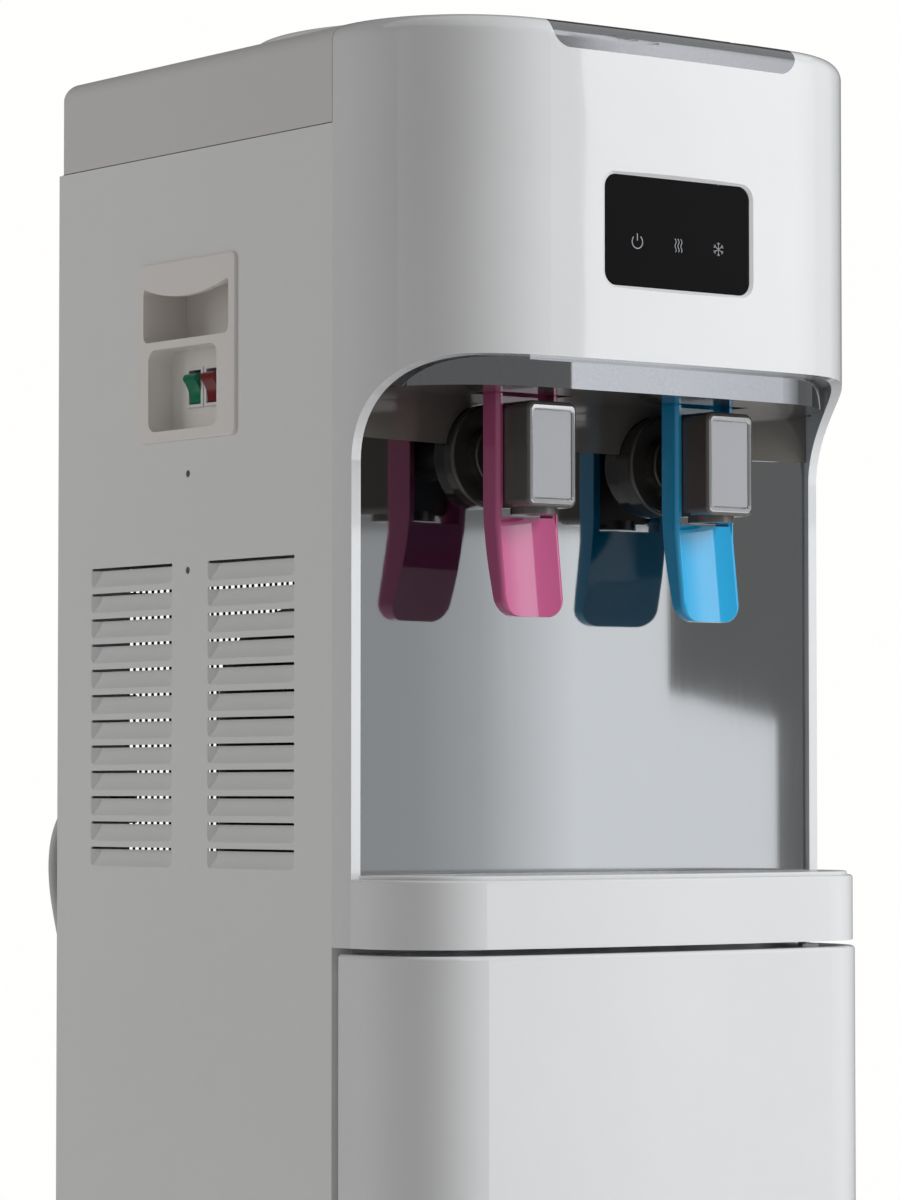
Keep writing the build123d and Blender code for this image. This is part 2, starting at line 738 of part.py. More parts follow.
# Push levers: two arms around the barrel, joined above it and by the paddle below it
paddle_top = tap_z - tap_height / 2 - nozzle_drop - 1.0
web_wall = 3.0
web_rear = 26.6
bridge_low = barrel_z + barrel_radius + 2.5
paddle_depth = 6.6
paddle_lean = 5.5
paddle_round = 10.0
paddle_dish = 2.2
dish_half = lever_width / 2 - 2.2


def lever(x):
    """One lever hung from its pin at x."""
    with BuildPart(mode=Mode.PRIVATE) as arms:
        # side view: deep arms above, thin paddle below, leaning forward
        with BuildSketch(Plane.YZ.offset(x - lever_width / 2)):
            with BuildLine():
                Line((behind(-lever_rear), pivot_z + 4), (behind(-lever_rear), lever_bottom + 58))
                ThreePointArc(
                    (behind(-lever_rear), lever_bottom + 58),
                    (behind(-lever_rear - 2.2), lever_bottom + 36),
                    (behind(-lever_front - 1.8 + paddle_depth), lever_bottom + 15),
                )
                Polyline(
                    (behind(-lever_front - 1.8 + paddle_depth), lever_bottom + 15),
                    (behind(-lever_front + paddle_depth - paddle_lean), lever_bottom),
                    (behind(-lever_front - paddle_lean), lever_bottom),
                    (behind(-lever_front), lever_bottom + 45),
                    (behind(-lever_front), pivot_z + 4),
                    (behind(-lever_rear), pivot_z + 4),
                )
            make_face()
        extrude(amount=lever_width)
        with BuildPart(mode=Mode.PRIVATE) as front_view:
            with BuildSketch(Plane.XZ.offset(-behind(0))):
                with Locations((x, (lever_bottom + pivot_z + 4) / 2)):
                    RectangleRounded(lever_width, pivot_z + 4 - lever_bottom, 7.0)
                with Locations((x, (lever_bottom + pivot_z + 24) / 2)):
                    RectangleRounded(lever_width, pivot_z + 24 - lever_bottom, paddle_round, mode=Mode.INTERSECT)
            extrude(amount=60)
        add(front_view.part, mode=Mode.INTERSECT)
        front_y = behind(-lever_front) + 0.5
        rim = [e for e in arms.edges() if e.center().Y < front_y and abs(e.center().X - x) > paddle_round]
        fillet([e for e in rim if e.center().Z < pivot_z - 6], 2.5)
        inner = lever_width / 2 - lever_wall
        # window around the barrel, between bridge and paddle
        add(
            box_between((x - inner, behind(-60), paddle_top), (x + inner, behind(0), bridge_low)),
            mode=Mode.SUBTRACT,
        )
        # above the window only the rear web is left between the arms
        add(
            box_between((x - inner, behind(-60), bridge_low - 1), (x + inner, behind(-web_rear - web_wall), pivot_z + 9)),
            mode=Mode.SUBTRACT,
        )
        add(
            box_between((x - inner, behind(-web_rear), bridge_low - 1), (x + inner, behind(0), pivot_z + 9)),
            mode=Mode.SUBTRACT,
        )
        # shallow dish across the paddle's face
        lean = degrees(atan2(paddle_lean, 45))
        front_foot = (x, behind(-lever_front - paddle_lean), lever_bottom)
        trough = Plane(origin=front_foot, x_dir=(1, 0, 0), z_dir=(0, sin(radians(lean)), cos(radians(lean))))
        with BuildSketch(trough.offset(-8)):
            with BuildLine():
                ThreePointArc((-dish_half, -0.1), (0, paddle_dish), (dish_half, -0.1))
                Line((dish_half, -0.1), (dish_half, -12))
                Line((dish_half, -12), (-dish_half, -12))
                Line((-dish_half, -12), (-dish_half, -0.1))
            make_face()
        extrude(amount=paddle_top - lever_bottom + 12, mode=Mode.SUBTRACT)
        with BuildSketch(Plane.YZ.offset(x - lever_width)):
            with Locations((behind(-pivot_back), pivot_z)):
                Circle(pin_radius + running_gap)
        extrude(amount=2 * lever_width, mode=Mode.SUBTRACT)
    return arms.part


with BuildPart() as hot_lever:
    add(lever(-tap_x))
save(hot_lever, "hot_lever")

with BuildPart() as cold_lever:
    add(lever(tap_x))
save(cold_lever, "cold_lever")

pin_half = ear_x + ear_wall
with BuildPart() as lever_pins:
    for side in (-1, 1):
        with BuildSketch(Plane.YZ.offset(side * tap_x - pin_half)):
            with Locations((behind(-pivot_back), pivot_z)):
                Circle(pin_radius)
        extrude(amount=2 * pin_half)
save(lever_pins, "lever_pins")


def plunger(x):
    """Valve plunger that the lever's bridge pushes back."""
    with BuildPart(mode=Mode.PRIVATE) as rod:
        with BuildSketch(Plane.XZ.offset(-behind(12))):
            with Locations((x, plunger_z)):
                Circle(plunger_radius)
        extrude(amount=12 + web_rear - 0.5)
        fillet(rod.edges().group_by(Axis.Y)[0], 2.0)
    return rod.part


with BuildPart() as hot_plunger:
    add(plunger(-tap_x))
save(hot_plunger, "hot_plunger")

with BuildPart() as cold_plunger:
    add(plunger(tap_x))
save(cold_plunger, "cold_plunger")

# Drip tray and grid ----------------------------------------------------------------------------

tray_gap = 0.4
apron_back = behind(-column_depth - tray_gap)
basin_half = niche_half - 1.2
rail_clear = 0.8
wall_clear = 1.0
grid_wall = 3.2
grid_rise = 2.0
grid_ledge = 3.0
basin_floor = tray_bottom + 10.0
grid_z = tray_top + grid_rise
slot_width = 4.0
slot_pitch = 9.0


def tray_plan(inset, curved):
    """Plan of the tray: bowed apron in front, basin between the columns up to the rail or the wall."""
    side = basin_half - inset
    front_y = apron_back - 20
    straight_y = wall_curve_y(niche_half) - rail_clear - inset
    side_y = wall_curve_y(side, wall_clear + inset) if curved else straight_y
    with BuildSketch() as plan:
        add(bowed_face(tray_reach - inset, front_bow - inset, front_corner - inset, half - inset, apron_back - inset))
        with BuildLine():
            if curved:
                ThreePointArc((side, side_y), (0, wall_curve_y(0, wall_clear + inset)), (-side, side_y))
            else:
                Line((side, side_y), (-side, side_y))
            Line((-side, side_y), (-side, front_y))
            Line((-side, front_y), (side, front_y))
            Line((side, front_y), (side, side_y))
        make_face()
    return plan.sketch


upper_z = rail_top + rail_clear
with BuildPart() as drip_tray:
    with BuildSketch(Plane.XY.offset(tray_bottom)):
        add(tray_plan(0.0, False))
    extrude(amount=tray_top - tray_bottom)
    with BuildSketch(Plane.XY.offset(upper_z)):
        add(tray_plan(0.0, True))
    extrude(amount=tray_top - upper_z)
    rim = drip_tray.faces().sort_by(Axis.Z)[-1].edges()
    fillet([e for e in rim if e.center().Y < apron_back - 5], 1.5)
    with BuildSketch(Plane.XY.offset(basin_floor)):
        add(tray_plan(tray_wall + grid_ledge, False))
    extrude(amount=tray_top - basin_floor + 1, mode=Mode.SUBTRACT)
    with BuildSketch(Plane.XY.offset(upper_z + tray_wall)):
        add(tray_plan(tray_wall + grid_ledge, True))
    extrude(amount=tray_top - upper_z, mode=Mode.SUBTRACT)
    with BuildSketch(Plane.XY.offset(grid_z - grid_wall)):
        add(tray_plan(tray_wall, True))
    extrude(amount=grid_wall + 1, mode=Mode.SUBTRACT)
    with BuildSketch(Plane.XY.offset(tray_bottom - 1)):
        add(tray_plan(tray_wall + grid_ledge, False))
    extrude(amount=basin_floor - tray_wall - tray_bottom + 1, mode=Mode.SUBTRACT)
    for side in (-1, 1):
        low = (side * tongue_x - tongue_width / 2, wall_curve_y(niche_half) - 4, tongue_z)
        high = (side * tongue_x + tongue_width / 2, behind(tongue_depth), tongue_z + tongue_wall)
        add(box_between(low, high))
save(drip_tray, "drip_tray")

grid_rows = ((-56.0, 17.0, 27), (-34.0, 17.0, 31), (-12.5, 15.0, 15))
with BuildPart() as drip_grid:
    with BuildSketch(Plane.XY.offset(grid_z - grid_wall)):
        add(tray_plan(tray_wall + 0.5, True))
        for row_y, row_length, columns in grid_rows:
            with Locations((0, behind(row_y))):
                with GridLocations(slot_pitch, 1, columns, 1):
                    SlotOverall(row_length, slot_width, rotation=90, mode=Mode.SUBTRACT)
    extrude(amount=grid_wall)
    edges = drip_grid.faces().sort_by(Axis.Z)[-1].outer_wire().edges()
    fillet(edges, 0.8)
save(drip_grid, "drip_grid")

# Bottle door -----------------------------------------------------------------------------------

door_back = behind(-door_gap)
hinge_x = half - 6.0
hinge_y = behind(-10.0)
hinge_pin = 3.0
hinge_boss = 6.0
boss_depth = 16.0
pin_length = 12.0


def door_face(inset, back_y=door_back):
    """Plan of the door, taken in by inset."""
    return bowed_face(door_reach - inset, front_bow - inset, front_corner - inset, half - inset, back_y)


with BuildPart() as door_panel:
    with BuildSketch(Plane.XY.offset(door_bottom)):
        add(door_face(0.0))
    extrude(amount=door_top - door_bottom)
    rim = door_panel.faces().sort_by(Axis.Z)[-1].edges() + door_panel.faces().sort_by(Axis.Z)[0].edges()
    fillet([e for e in rim if e.center().Y < door_back - 0.01], 2.0)
    with BuildSketch(Plane.XY.offset(door_bottom + door_wall)):
        add(door_face(door_wall, door_back + 1))
    extrude(amount=door_top - door_bottom - 2 * door_wall, mode=Mode.SUBTRACT)
    for low_z in (door_bottom + door_wall - 0.5, door_top - door_wall - boss_depth + 0.5):
        low = (hinge_x - hinge_boss, hinge_y - hinge_boss, low_z)
        add(box_between(low, (half - door_wall + 0.5, door_back, low_z + boss_depth)))
    for low_z in (door_bottom - 1, door_top - pin_length - 0.5):
        with BuildSketch(Plane.XY.offset(low_z)):
            with Locations((hinge_x, hinge_y)):
                Circle(hinge_pin + running_gap)
        extrude(amount=pin_length + 1.5, mode=Mode.SUBTRACT)
save(door_panel, "door_panel")

liner_half = half - door_wall - 0.3
liner_low = door_bottom + door_wall + 0.3
liner_high = door_top - door_wall - 0.3
with BuildPart() as door_liner:
    add(box_between((-liner_half, door_back - liner_wall, liner_low), (liner_half, door_back, liner_high)))
    for low_z in (liner_low - 1, door_top - door_wall - boss_depth):
        low = (hinge_x - hinge_boss - 0.4, door_back - 5, low_z)
        add(box_between(low, (half, door_back + 1, low_z + boss_depth + 1.4)), mode=Mode.SUBTRACT)
    with BuildSketch(Plane.XZ.offset(-door_back)):
        with Locations((0, (liner_low + liner_high) / 2)):
            RectangleRounded(200, 380, 18)
    extrude(amount=1.6, mode=Mode.SUBTRACT)
save(door_liner, "door_liner")

gasket_width = 9.0
gasket_half = half - 9.0
gasket_low = door_bottom + 9.0
gasket_high = door_top - 6.8
with BuildPart() as door_gasket:
    with BuildSketch(Plane.XZ.offset(-door_back)):
        with Locations((0, (gasket_low + gasket_high) / 2)):
            Rectangle(2 * gasket_half, gasket_high - gasket_low)
            Rectangle(2 * (gasket_half - gasket_width), gasket_high - gasket_low - 2 * gasket_width, mode=Mode.SUBTRACT)
    extrude(amount=-(door_gap - 0.3))
    for low_z in (gasket_low - 1, gasket_high - 12):
        low = (hinge_x - hinge_boss - 0.4, door_back - 5, low_z)
        add(box_between(low, (half, seam_y, low_z + 13)), mode=Mode.SUBTRACT)
save(door_gasket, "door_gasket")

with BuildPart() as hinge_brackets:
    for z, turn in ((bracket_top_z, -1), (bracket_bottom_z, 1)):
        low = (half - flange + 0.3, hinge_y - 7, z)
        add(box_between(low, (half - sheet - 0.3, behind(sheet + 2.2), z + bracket_sheet)))
        tab = sorted((z + bracket_sheet / 2, z + bracket_sheet / 2 + turn * 14))
        low = (half - flange + 0.3, behind(sheet + 0.1), tab[0])
        add(box_between(low, (half - sheet - 0.3, behind(sheet + 2.2), tab[1])))
        with BuildSketch(Plane.XY.offset(z - 1)):
            with Locations((hinge_x, hinge_y)):
                Circle(hinge_pin)
        extrude(amount=bracket_sheet + 2, mode=Mode.SUBTRACT)
save(hinge_brackets, "hinge_brackets")

with BuildPart() as hinge_pins:
    for low_z in (bracket_bottom_z, door_top - pin_length):
        with BuildSketch(Plane.XY.offset(low_z)):
            with Locations((hinge_x, hinge_y)):
                Circle(hinge_pin)
        extrude(amount=pin_length + 0.8 + bracket_sheet)
save(hinge_pins, "hinge_pins")

catch_x = -122.0
catch_width = 24.0
catch_z = shelf_top - shelf_fold - 13.0
with BuildPart() as magnet_catch:
    low = (catch_x - catch_width / 2, behind(-3.8), catch_z)
    add(box_between(low, (catch_x + catch_width / 2, behind(12.0), shelf_top - shelf_fold)))
    low = (catch_x - 8, behind(1.2), shelf_top - shelf_fold)
    add(box_between(low, (catch_x + 8, behind(3.0), shelf_top - shelf_fold + 9)))
save(magnet_catch, "magnet_catch")

with BuildPart() as door_strike:
    low = (catch_x - catch_width / 2, door_back, catch_z)
    add(box_between(low, (catch_x + catch_width / 2, door_back + 1.5, catch_z + 12)))
    with BuildSketch(Plane.XZ.offset(-door_back - 1.5)):
        with Locations((catch_x, catch_z + 6)):
            Circle(2.0)
    extrude(amount=0.6, mode=Mode.SUBTRACT)
save(door_strike, "door_strike")

# Bottle bay ------------------------------------------------------------------------------------

bay_half = half - 4.5
bay_front = behind(2.8)
bay_rear = rear_sheet_y - 1.5
bay_low = foot_height + shelf_sheet
bay_deck = 36.0
bay_rim = 50.0
bay_wall = 2.5
bottle_radius = 135.0
with BuildPart() as bay_floor:
    middle = (bay_front + bay_rear) / 2
    with BuildSketch(Plane.XY.offset(bay_low)):
        with Locations((0, middle)):
            RectangleRounded(2 * (pan_half - shelf_sheet - 0.4), bay_rear - bay_front - 2, 6)
    extrude(amount=bay_rim - bay_low)
    with BuildSketch(Plane.XY.offset(bay_deck)):
        with Locations((0, middle)):
            RectangleRounded(2 * (pan_half - shelf_sheet - 0.4 - bay_wall), bay_rear - bay_front - 2 - 2 * bay_wall, 4)
    extrude(amount=bay_rim, mode=Mode.SUBTRACT)
    with BuildSketch(Plane.XY.offset(bay_low - 1)):
        with Locations((0, middle)):
            RectangleRounded(2 * (pan_half - shelf_sheet - 0.4 - bay_wall), bay_rear - bay_front - 2 - 2 * bay_wall, 4)
    extrude(amount=bay_deck - bay_wall - bay_low + 1, mode=Mode.SUBTRACT)
    with BuildSketch(Plane.XY.offset(bay_low)):
        with GridLocations(70, 60, 3, 3):
            Circle(9)
            Circle(6.5, mode=Mode.SUBTRACT)
    extrude(amount=bay_deck - bay_low - 1)
save(bay_floor, "bay_floor")

# Suction probe, parked upright in the rear right corner, and its hose up to the pump
probe_x = 118.0
probe_y = behind(226.0)
probe_low = bay_deck + 30.0
probe_high = 512.0
probe_radius = 6.0
cap_radius = 17.0
cap_height = 22.0
with BuildPart() as bottle_probe:
    with BuildSketch(Plane.XY.offset(probe_low)):
        with Locations((probe_x, probe_y)):
            Circle(probe_radius)
    extrude(amount=probe_high - probe_low)
    with BuildSketch(Plane.XY.offset(probe_high - 4)):
        with Locations((probe_x, probe_y)):
            Circle(cap_radius)
    extrude(amount=cap_height)
    fillet(bottle_probe.edges().group_by(Axis.Z)[-1], 3.0)
    with BuildSketch(Plane.XY.offset(probe_high + cap_height - 4)):
        with Locations((probe_x, probe_y)):
            Circle(hose_radius)
    extrude(amount=8)
    with BuildSketch(Plane.XY.offset(probe_low - 1)):
        with Locations((probe_x, probe_y)):
            Circle(3.5)
    extrude(amount=probe_high - probe_low, mode=Mode.SUBTRACT)
    for z in (probe_low + 8, probe_low + 18):
        with BuildSketch(Plane.YZ.offset(probe_x - 10)):
            with Locations((probe_y, z)):
                Circle(2.0)
        extrude(amount=20, mode=Mode.SUBTRACT)
save(bottle_probe, "bottle_probe")


def arc_radii(points):
    """Arc radius at each inner point: as large as its two runs allow."""
    radii = []
    for a, b, c in zip(points, points[1:], points[2:]):
        first = Vector(*b) - Vector(*a)
        second = Vector(*c) - Vector(*b)
        turn = radians(first.get_angle(second))
        radii.append(0.45 * min(first.length, second.length) / tan(turn / 2))
    return radii


def tube(points, radius, label=""):
    """Solid tube along straight runs joined by tangent arcs."""
    radii = arc_radii(points)
    with BuildPart(mode=Mode.PRIVATE) as pipe:
        with BuildLine() as route:
            if radii:
                FilletPolyline(*points, radius=radii)
            else:
                Line(*points)
        start = Vector(*points[0])
        with BuildSketch(Plane(origin=start, z_dir=Vector(*points[1]) - start)):
            Circle(radius)
        sweep(path=route.wires()[0])
    if label:
        print(label, "length", round(route.wires()[0].length), "radii", [round(r) for r in radii])
    return pipe.part


pump_size = 52.0
pump_high = 62.0
probe_top = probe_high + cap_height + 4
hose_route = [
    (probe_x, probe_y, probe_top),
    (probe_x, probe_y, probe_top + 14),
    (probe_x - 2.5, probe_y - 5, probe_top + 30),
    (hose_x, hose_y, shelf_top - 8),
    (hose_x, hose_y, shelf_top + 8),
]
with BuildPart() as suction_hose:
    add(tube(hose_route, hose_radius - 0.5, "suction hose"))
save(suction_hose, "suction_hose")

clip_z = (150.0, 430.0)
clip_wall = 2.0
with BuildPart() as hose_clips:
    for z in clip_z:
        with BuildSketch(Plane.XY.offset(z)):
            with Locations((probe_x, probe_y)):
                Circle(probe_radius + clip_wall)
            clip_middle = (probe_y + rear_sheet_y) / 2
            with Locations((probe_x, clip_middle)):
                Rectangle(5, rear_sheet_y - probe_y)
            with Locations((probe_x, rear_sheet_y - 1.25)):
                Rectangle(22, 2.5)
            with Locations((probe_x, probe_y)):
                Circle(probe_radius + 0.1, mode=Mode.SUBTRACT)
            with Locations((probe_x, probe_y - probe_radius)):
                Rectangle(8.0, 9.0, mode=Mode.SUBTRACT)
        extrude(amount=10)
save(hose_clips, "hose_clips")

with BuildPart() as water_pump:
    low = (hose_x - pump_size / 2, hose_y - pump_size / 2, shelf_top + 8)
    add(box_between(low, (hose_x + pump_size / 2, hose_y + pump_size / 2, shelf_top + 30)))
    with BuildSketch(Plane.XY.offset(shelf_top + 30)):
        with Locations((hose_x, hose_y)):
            Circle(pump_size / 2 - 4)
    extrude(amount=pump_high - 30)
    fillet(water_pump.edges().filter_by(GeomType.CIRCLE).group_by(Axis.Z)[-1], 3.0)
    for sx in (-1, 1):
        for sy in (-1, 1):
            with BuildSketch(Plane.XY.offset(shelf_top)):
                with Locations((hose_x + sx * 20, hose_y + sy * 20)):
                    Circle(5)
            extrude(amount=9)
    with BuildSketch(Plane.XY.offset(shelf_top + pump_high)):
        with Locations((hose_x, hose_y)):
            Circle(5)
    extrude(amount=8)
save(water_pump, "water_pump")

# Side inserts: a grip recess on both sides, a switch recess on the left -----------------------

insert_lip = 1.6
grip_depth = 26.0
switch_depth = 13.6
grip_low = 890.4
grip_high = 919.8
grip_half = 39.5
grip_shell = 1.6
well_low = 843.0
well_high = 886.2
well_half = 31.8
well_y = behind(131.6)
insert_shell = 2.0
rocker_y = 8.15
rocker_z = 866.2
bezel_width = 15.0
bezel_height = 21.0


def insert_body():
    """The left insert: frame, and its two boxes reaching into the cabinet."""
    with BuildPart(mode=Mode.PRIVATE) as body:
        with BuildSketch(Plane.YZ.offset(-half - insert_lip)):
            with Locations((insert_y, insert_z)):
                RectangleRounded(insert_width, insert_height, insert_round)
        extrude(amount=insert_lip)
        fillet(body.faces().sort_by(Axis.X)[0].edges(), 1.0)
        with BuildSketch(Plane.YZ.offset(-half)):
            with Locations((insert_y, insert_z)):
                width = insert_width - 2 * insert_rim - 2 * fit_gap
                height = insert_height - 2 * insert_rim - 2 * fit_gap
                RectangleRounded(width, height, insert_round - fit_gap)
        extrude(amount=3.0)
    return body.part


def recess(y, low_z, high_z, half_width, depth, corner):
    """Rounded pocket from the left side inwards, as a loose solid."""
    with BuildPart(mode=Mode.PRIVATE) as pocket:
        with BuildSketch(Plane.YZ.offset(-half - insert_lip - 1)):
            with Locations((y, (low_z + high_z) / 2)):
                RectangleRounded(2 * half_width, high_z - low_z, corner)
        extrude(amount=insert_lip + 1 + depth)
    return pocket.part


shell = insert_shell
grip_y = insert_y + 0.2
grip_outer = recess(grip_y, grip_low - shell, grip_high + shell, grip_half + grip_shell, grip_depth + shell, 5)
grip_inner = recess(grip_y, grip_low, grip_high, grip_half, grip_depth, 4)
inner_side = box_between((-half, seam_y, 0), (0, rear_y, cap_seam))

with BuildPart(mode=Mode.PRIVATE) as lip_plate:
    # a curved lip hangs over the top of the grip
    with BuildSketch(Plane.YZ.offset(-half - insert_lip)):
        with BuildLine():
            ThreePointArc(
                (grip_y - grip_half + 1, grip_high - 1.0),
                (grip_y, grip_high - 7.0),
                (grip_y + grip_half - 1, grip_high - 1.0),
            )
            Line((grip_y + grip_half - 1, grip_high - 1.0), (grip_y + grip_half - 1, grip_high + 1))
            Line((grip_y + grip_half - 1, grip_high + 1), (grip_y - grip_half + 1, grip_high + 1))
            Line((grip_y - grip_half + 1, grip_high + 1), (grip_y - grip_half + 1, grip_high - 1.0))
        make_face()
    extrude(amount=3.0)

with BuildPart() as switch_insert:
    add(insert_body())
    add(grip_outer & inner_side)
    well_outer = recess(well_y, well_low - shell, well_high + shell / 2, well_half + shell, switch_depth + shell, 7)
    add(well_outer & inner_side)
    add(grip_inner, mode=Mode.SUBTRACT)
    add(recess(well_y, well_low, well_high, well_half, switch_depth, 6), mode=Mode.SUBTRACT)
    add(lip_plate.part)
    for side in (-1, 1):
        hole_y = well_y + side * rocker_y
        low = (-half, hole_y - bezel_width / 2 + 1, rocker_z - bezel_height / 2 + 1)
        high = (0, hole_y + bezel_width / 2 - 1, rocker_z + bezel_height / 2 - 1)
        add(box_between(low, high), mode=Mode.SUBTRACT)
save(switch_insert, "switch_insert")

with BuildPart(mode=Mode.PRIVATE) as plain_insert:
    add(insert_body())
    add(grip_outer & inner_side)
    add(grip_inner, mode=Mode.SUBTRACT)
    add(lip_plate.part)

with BuildPart() as grip_insert:
    add(plain_insert.part.mirror(Plane.YZ))
save(grip_insert, "grip_insert")

well_floor = -half + switch_depth
body_depth = 17.0
rocker_width = 10.6
rocker_height = 16.4
switch_wall = 1.2
rocker_axis_x = well_floor + 2.0
rocker_radius = 8.0
rocker_tilt = 9.0
trunnion_radius = 1.5

with BuildPart() as switch_bodies:
    for side in (-1, 1):
        y = well_y + side * rocker_y
        low = (well_floor - 1.6, y - bezel_width / 2, rocker_z - bezel_height / 2)
        add(box_between(low, (well_floor, y + bezel_width / 2, rocker_z + bezel_height / 2)))
        low = (well_floor, y - bezel_width / 2 + 1.1, rocker_z - bezel_height / 2 + 1.1)
        high = (well_floor + body_depth, y + bezel_width / 2 - 1.1, rocker_z + bezel_height / 2 - 1.1)
        add(box_between(low, high))
        low = (well_floor - 2, y - rocker_width / 2 - 0.3, rocker_z - rocker_height / 2 - 0.8)
        high = (well_floor + 11, y + rocker_width / 2 + 0.3, rocker_z + rocker_height / 2 + 0.8)
        add(box_between(low, high), mode=Mode.SUBTRACT)
        with BuildSketch(Plane.XZ.offset(-(y - bezel_width / 2))):
            with Locations((rocker_axis_x, rocker_z)):
                Circle(trunnion_radius + 0.1)
        extrude(amount=-bezel_width, mode=Mode.SUBTRACT)
        for dz in (-5, 5):
            low = (well_floor + body_depth, y - 2.4, rocker_z + dz - 0.4)
            add(box_between(low, (well_floor + body_depth + 8, y + 2.4, rocker_z + dz + 0.4)))
save(switch_bodies, "switch_bodies")


def rocker(y):
    """One rocker key, pressed in at its lower end."""
    with BuildPart(mode=Mode.PRIVATE) as key:
        across = (cos(radians(rocker_tilt)), 0, sin(radians(rocker_tilt)))
        tilted = Plane(origin=(rocker_axis_x, y + rocker_width / 2, rocker_z), x_dir=across, z_dir=(0, -1, 0))
        top = rocker_height / 2 - 0.4
        with BuildSketch(tilted):
            with BuildLine():
                # concave face from the pressed lower end up to the nose
                ThreePointArc((-3.9, -top), (-4.2, -1.3), (-6.8, top - 3.0))
                ThreePointArc((-6.8, top - 3.0), (-6.3, top - 1.0), (-4.4, top))
                Line((-4.4, top), (0, top - 0.6))
                Line((0, top - 0.6), (4.5, 2.5))
                Line((4.5, 2.5), (4.5, -2.5))
                Line((4.5, -2.5), (0, -top + 0.6))
                Line((0, -top + 0.6), (-3.9, -top))
            make_face()
        extrude(amount=rocker_width)
        with BuildSketch(Plane.XZ.offset(-(y - rocker_width / 2 - 0.8))):
            with Locations((rocker_axis_x, rocker_z)):
                Circle(trunnion_radius)
        extrude(amount=-(rocker_width + 1.6))
    return key.part


with BuildPart() as cold_rocker:
    add(rocker(well_y + rocker_y))
save(cold_rocker, "cold_rocker")

with BuildPart() as hot_rocker:
    add(rocker(well_y - rocker_y))
save(hot_rocker, "hot_rocker")

# Refrigeration ---------------------------------------------------------------------------------

comp_x = -40.0
comp_y = behind(150.0)
comp_radius = 66.0
comp_low = shelf_top + 14.0
comp_high = shelf_top + 172.0
comp_bowl = 22.0
comp_dome = 50.0
comp_foot_x = 82.0
comp_foot_y = 52.0
mount_radius = 9.0
stub_offset = 20.0
suction_z = comp_low + 93.0
discharge_z = comp_low + 73.0
stub_end = comp_x + comp_radius + 10.0
with BuildPart() as compressor:
    with BuildSketch(Plane.XY.offset(comp_low)):
        with Locations((comp_x, comp_y)):
            Circle(comp_radius)
    extrude(amount=comp_high - comp_low)
    fillet(compressor.edges().group_by(Axis.Z)[-1], comp_dome)
    fillet(compressor.edges().group_by(Axis.Z)[0], comp_bowl)
    with BuildSketch(Plane.XY.offset(comp_low + 84)):
        with Locations((comp_x, comp_y)):
            Circle(comp_radius + 2.5)
    extrude(amount=6)
    with BuildSketch(Plane.XY.offset(comp_low)):
        with Locations((comp_x, comp_y)):
            RectangleRounded(2 * comp_foot_x + 26, 2 * comp_foot_y + 26, 12)
            with GridLocations(2 * comp_foot_x, 2 * comp_foot_y, 2, 2):
                Circle(mount_radius - 3.0, mode=Mode.SUBTRACT)
    extrude(amount=2.5)
    low = (comp_x - 24, comp_y - comp_radius - 16, comp_low + 40)
    add(box_between(low, (comp_x + 24, comp_y - comp_radius + 12, comp_low + 92)))
    # copper stubs for the suction and discharge lines
    for y, z in ((comp_y - stub_offset, suction_z), (comp_y + stub_offset, discharge_z)):
        with BuildSketch(Plane.YZ.offset(comp_x + comp_radius - 14)):
            with Locations((y, z)):
                Circle(line_radius + 0.8)
        extrude(amount=stub_end - comp_x - comp_radius + 14)
save(compressor, "compressor")

with BuildPart() as compressor_mounts:
    with BuildSketch(Plane.XY.offset(shelf_top)):
        with Locations((comp_x, comp_y)):
            with GridLocations(2 * comp_foot_x, 2 * comp_foot_y, 2, 2):
                Circle(mount_radius)
    extrude(amount=comp_low - shelf_top)
    with BuildSketch(Plane.XY.offset(comp_low)):
        with Locations((comp_x, comp_y)):
            with GridLocations(2 * comp_foot_x, 2 * comp_foot_y, 2, 2):
                Circle(mount_radius - 3.2)
    extrude(amount=6)
save(compressor_mounts, "compressor_mounts")

# Condenser: one serpentine tube between two rows of upright wires, behind the open back
cond_left = -109.0
cond_right = 126.0
cond_low = 612.0
cond_pitch = 30.0
cond_runs = 13
cond_radius = 2.4
wire_radius = 0.8
wire_pitch = 8.0
wire_count = 29
last_wire = (wire_count - 1) / 2 * wire_pitch
cond_y = rear_y + rear_standoff - cond_radius - 2 * wire_radius
cond_high = cond_low + cond_pitch * (cond_runs - 1)
bend = cond_pitch / 2

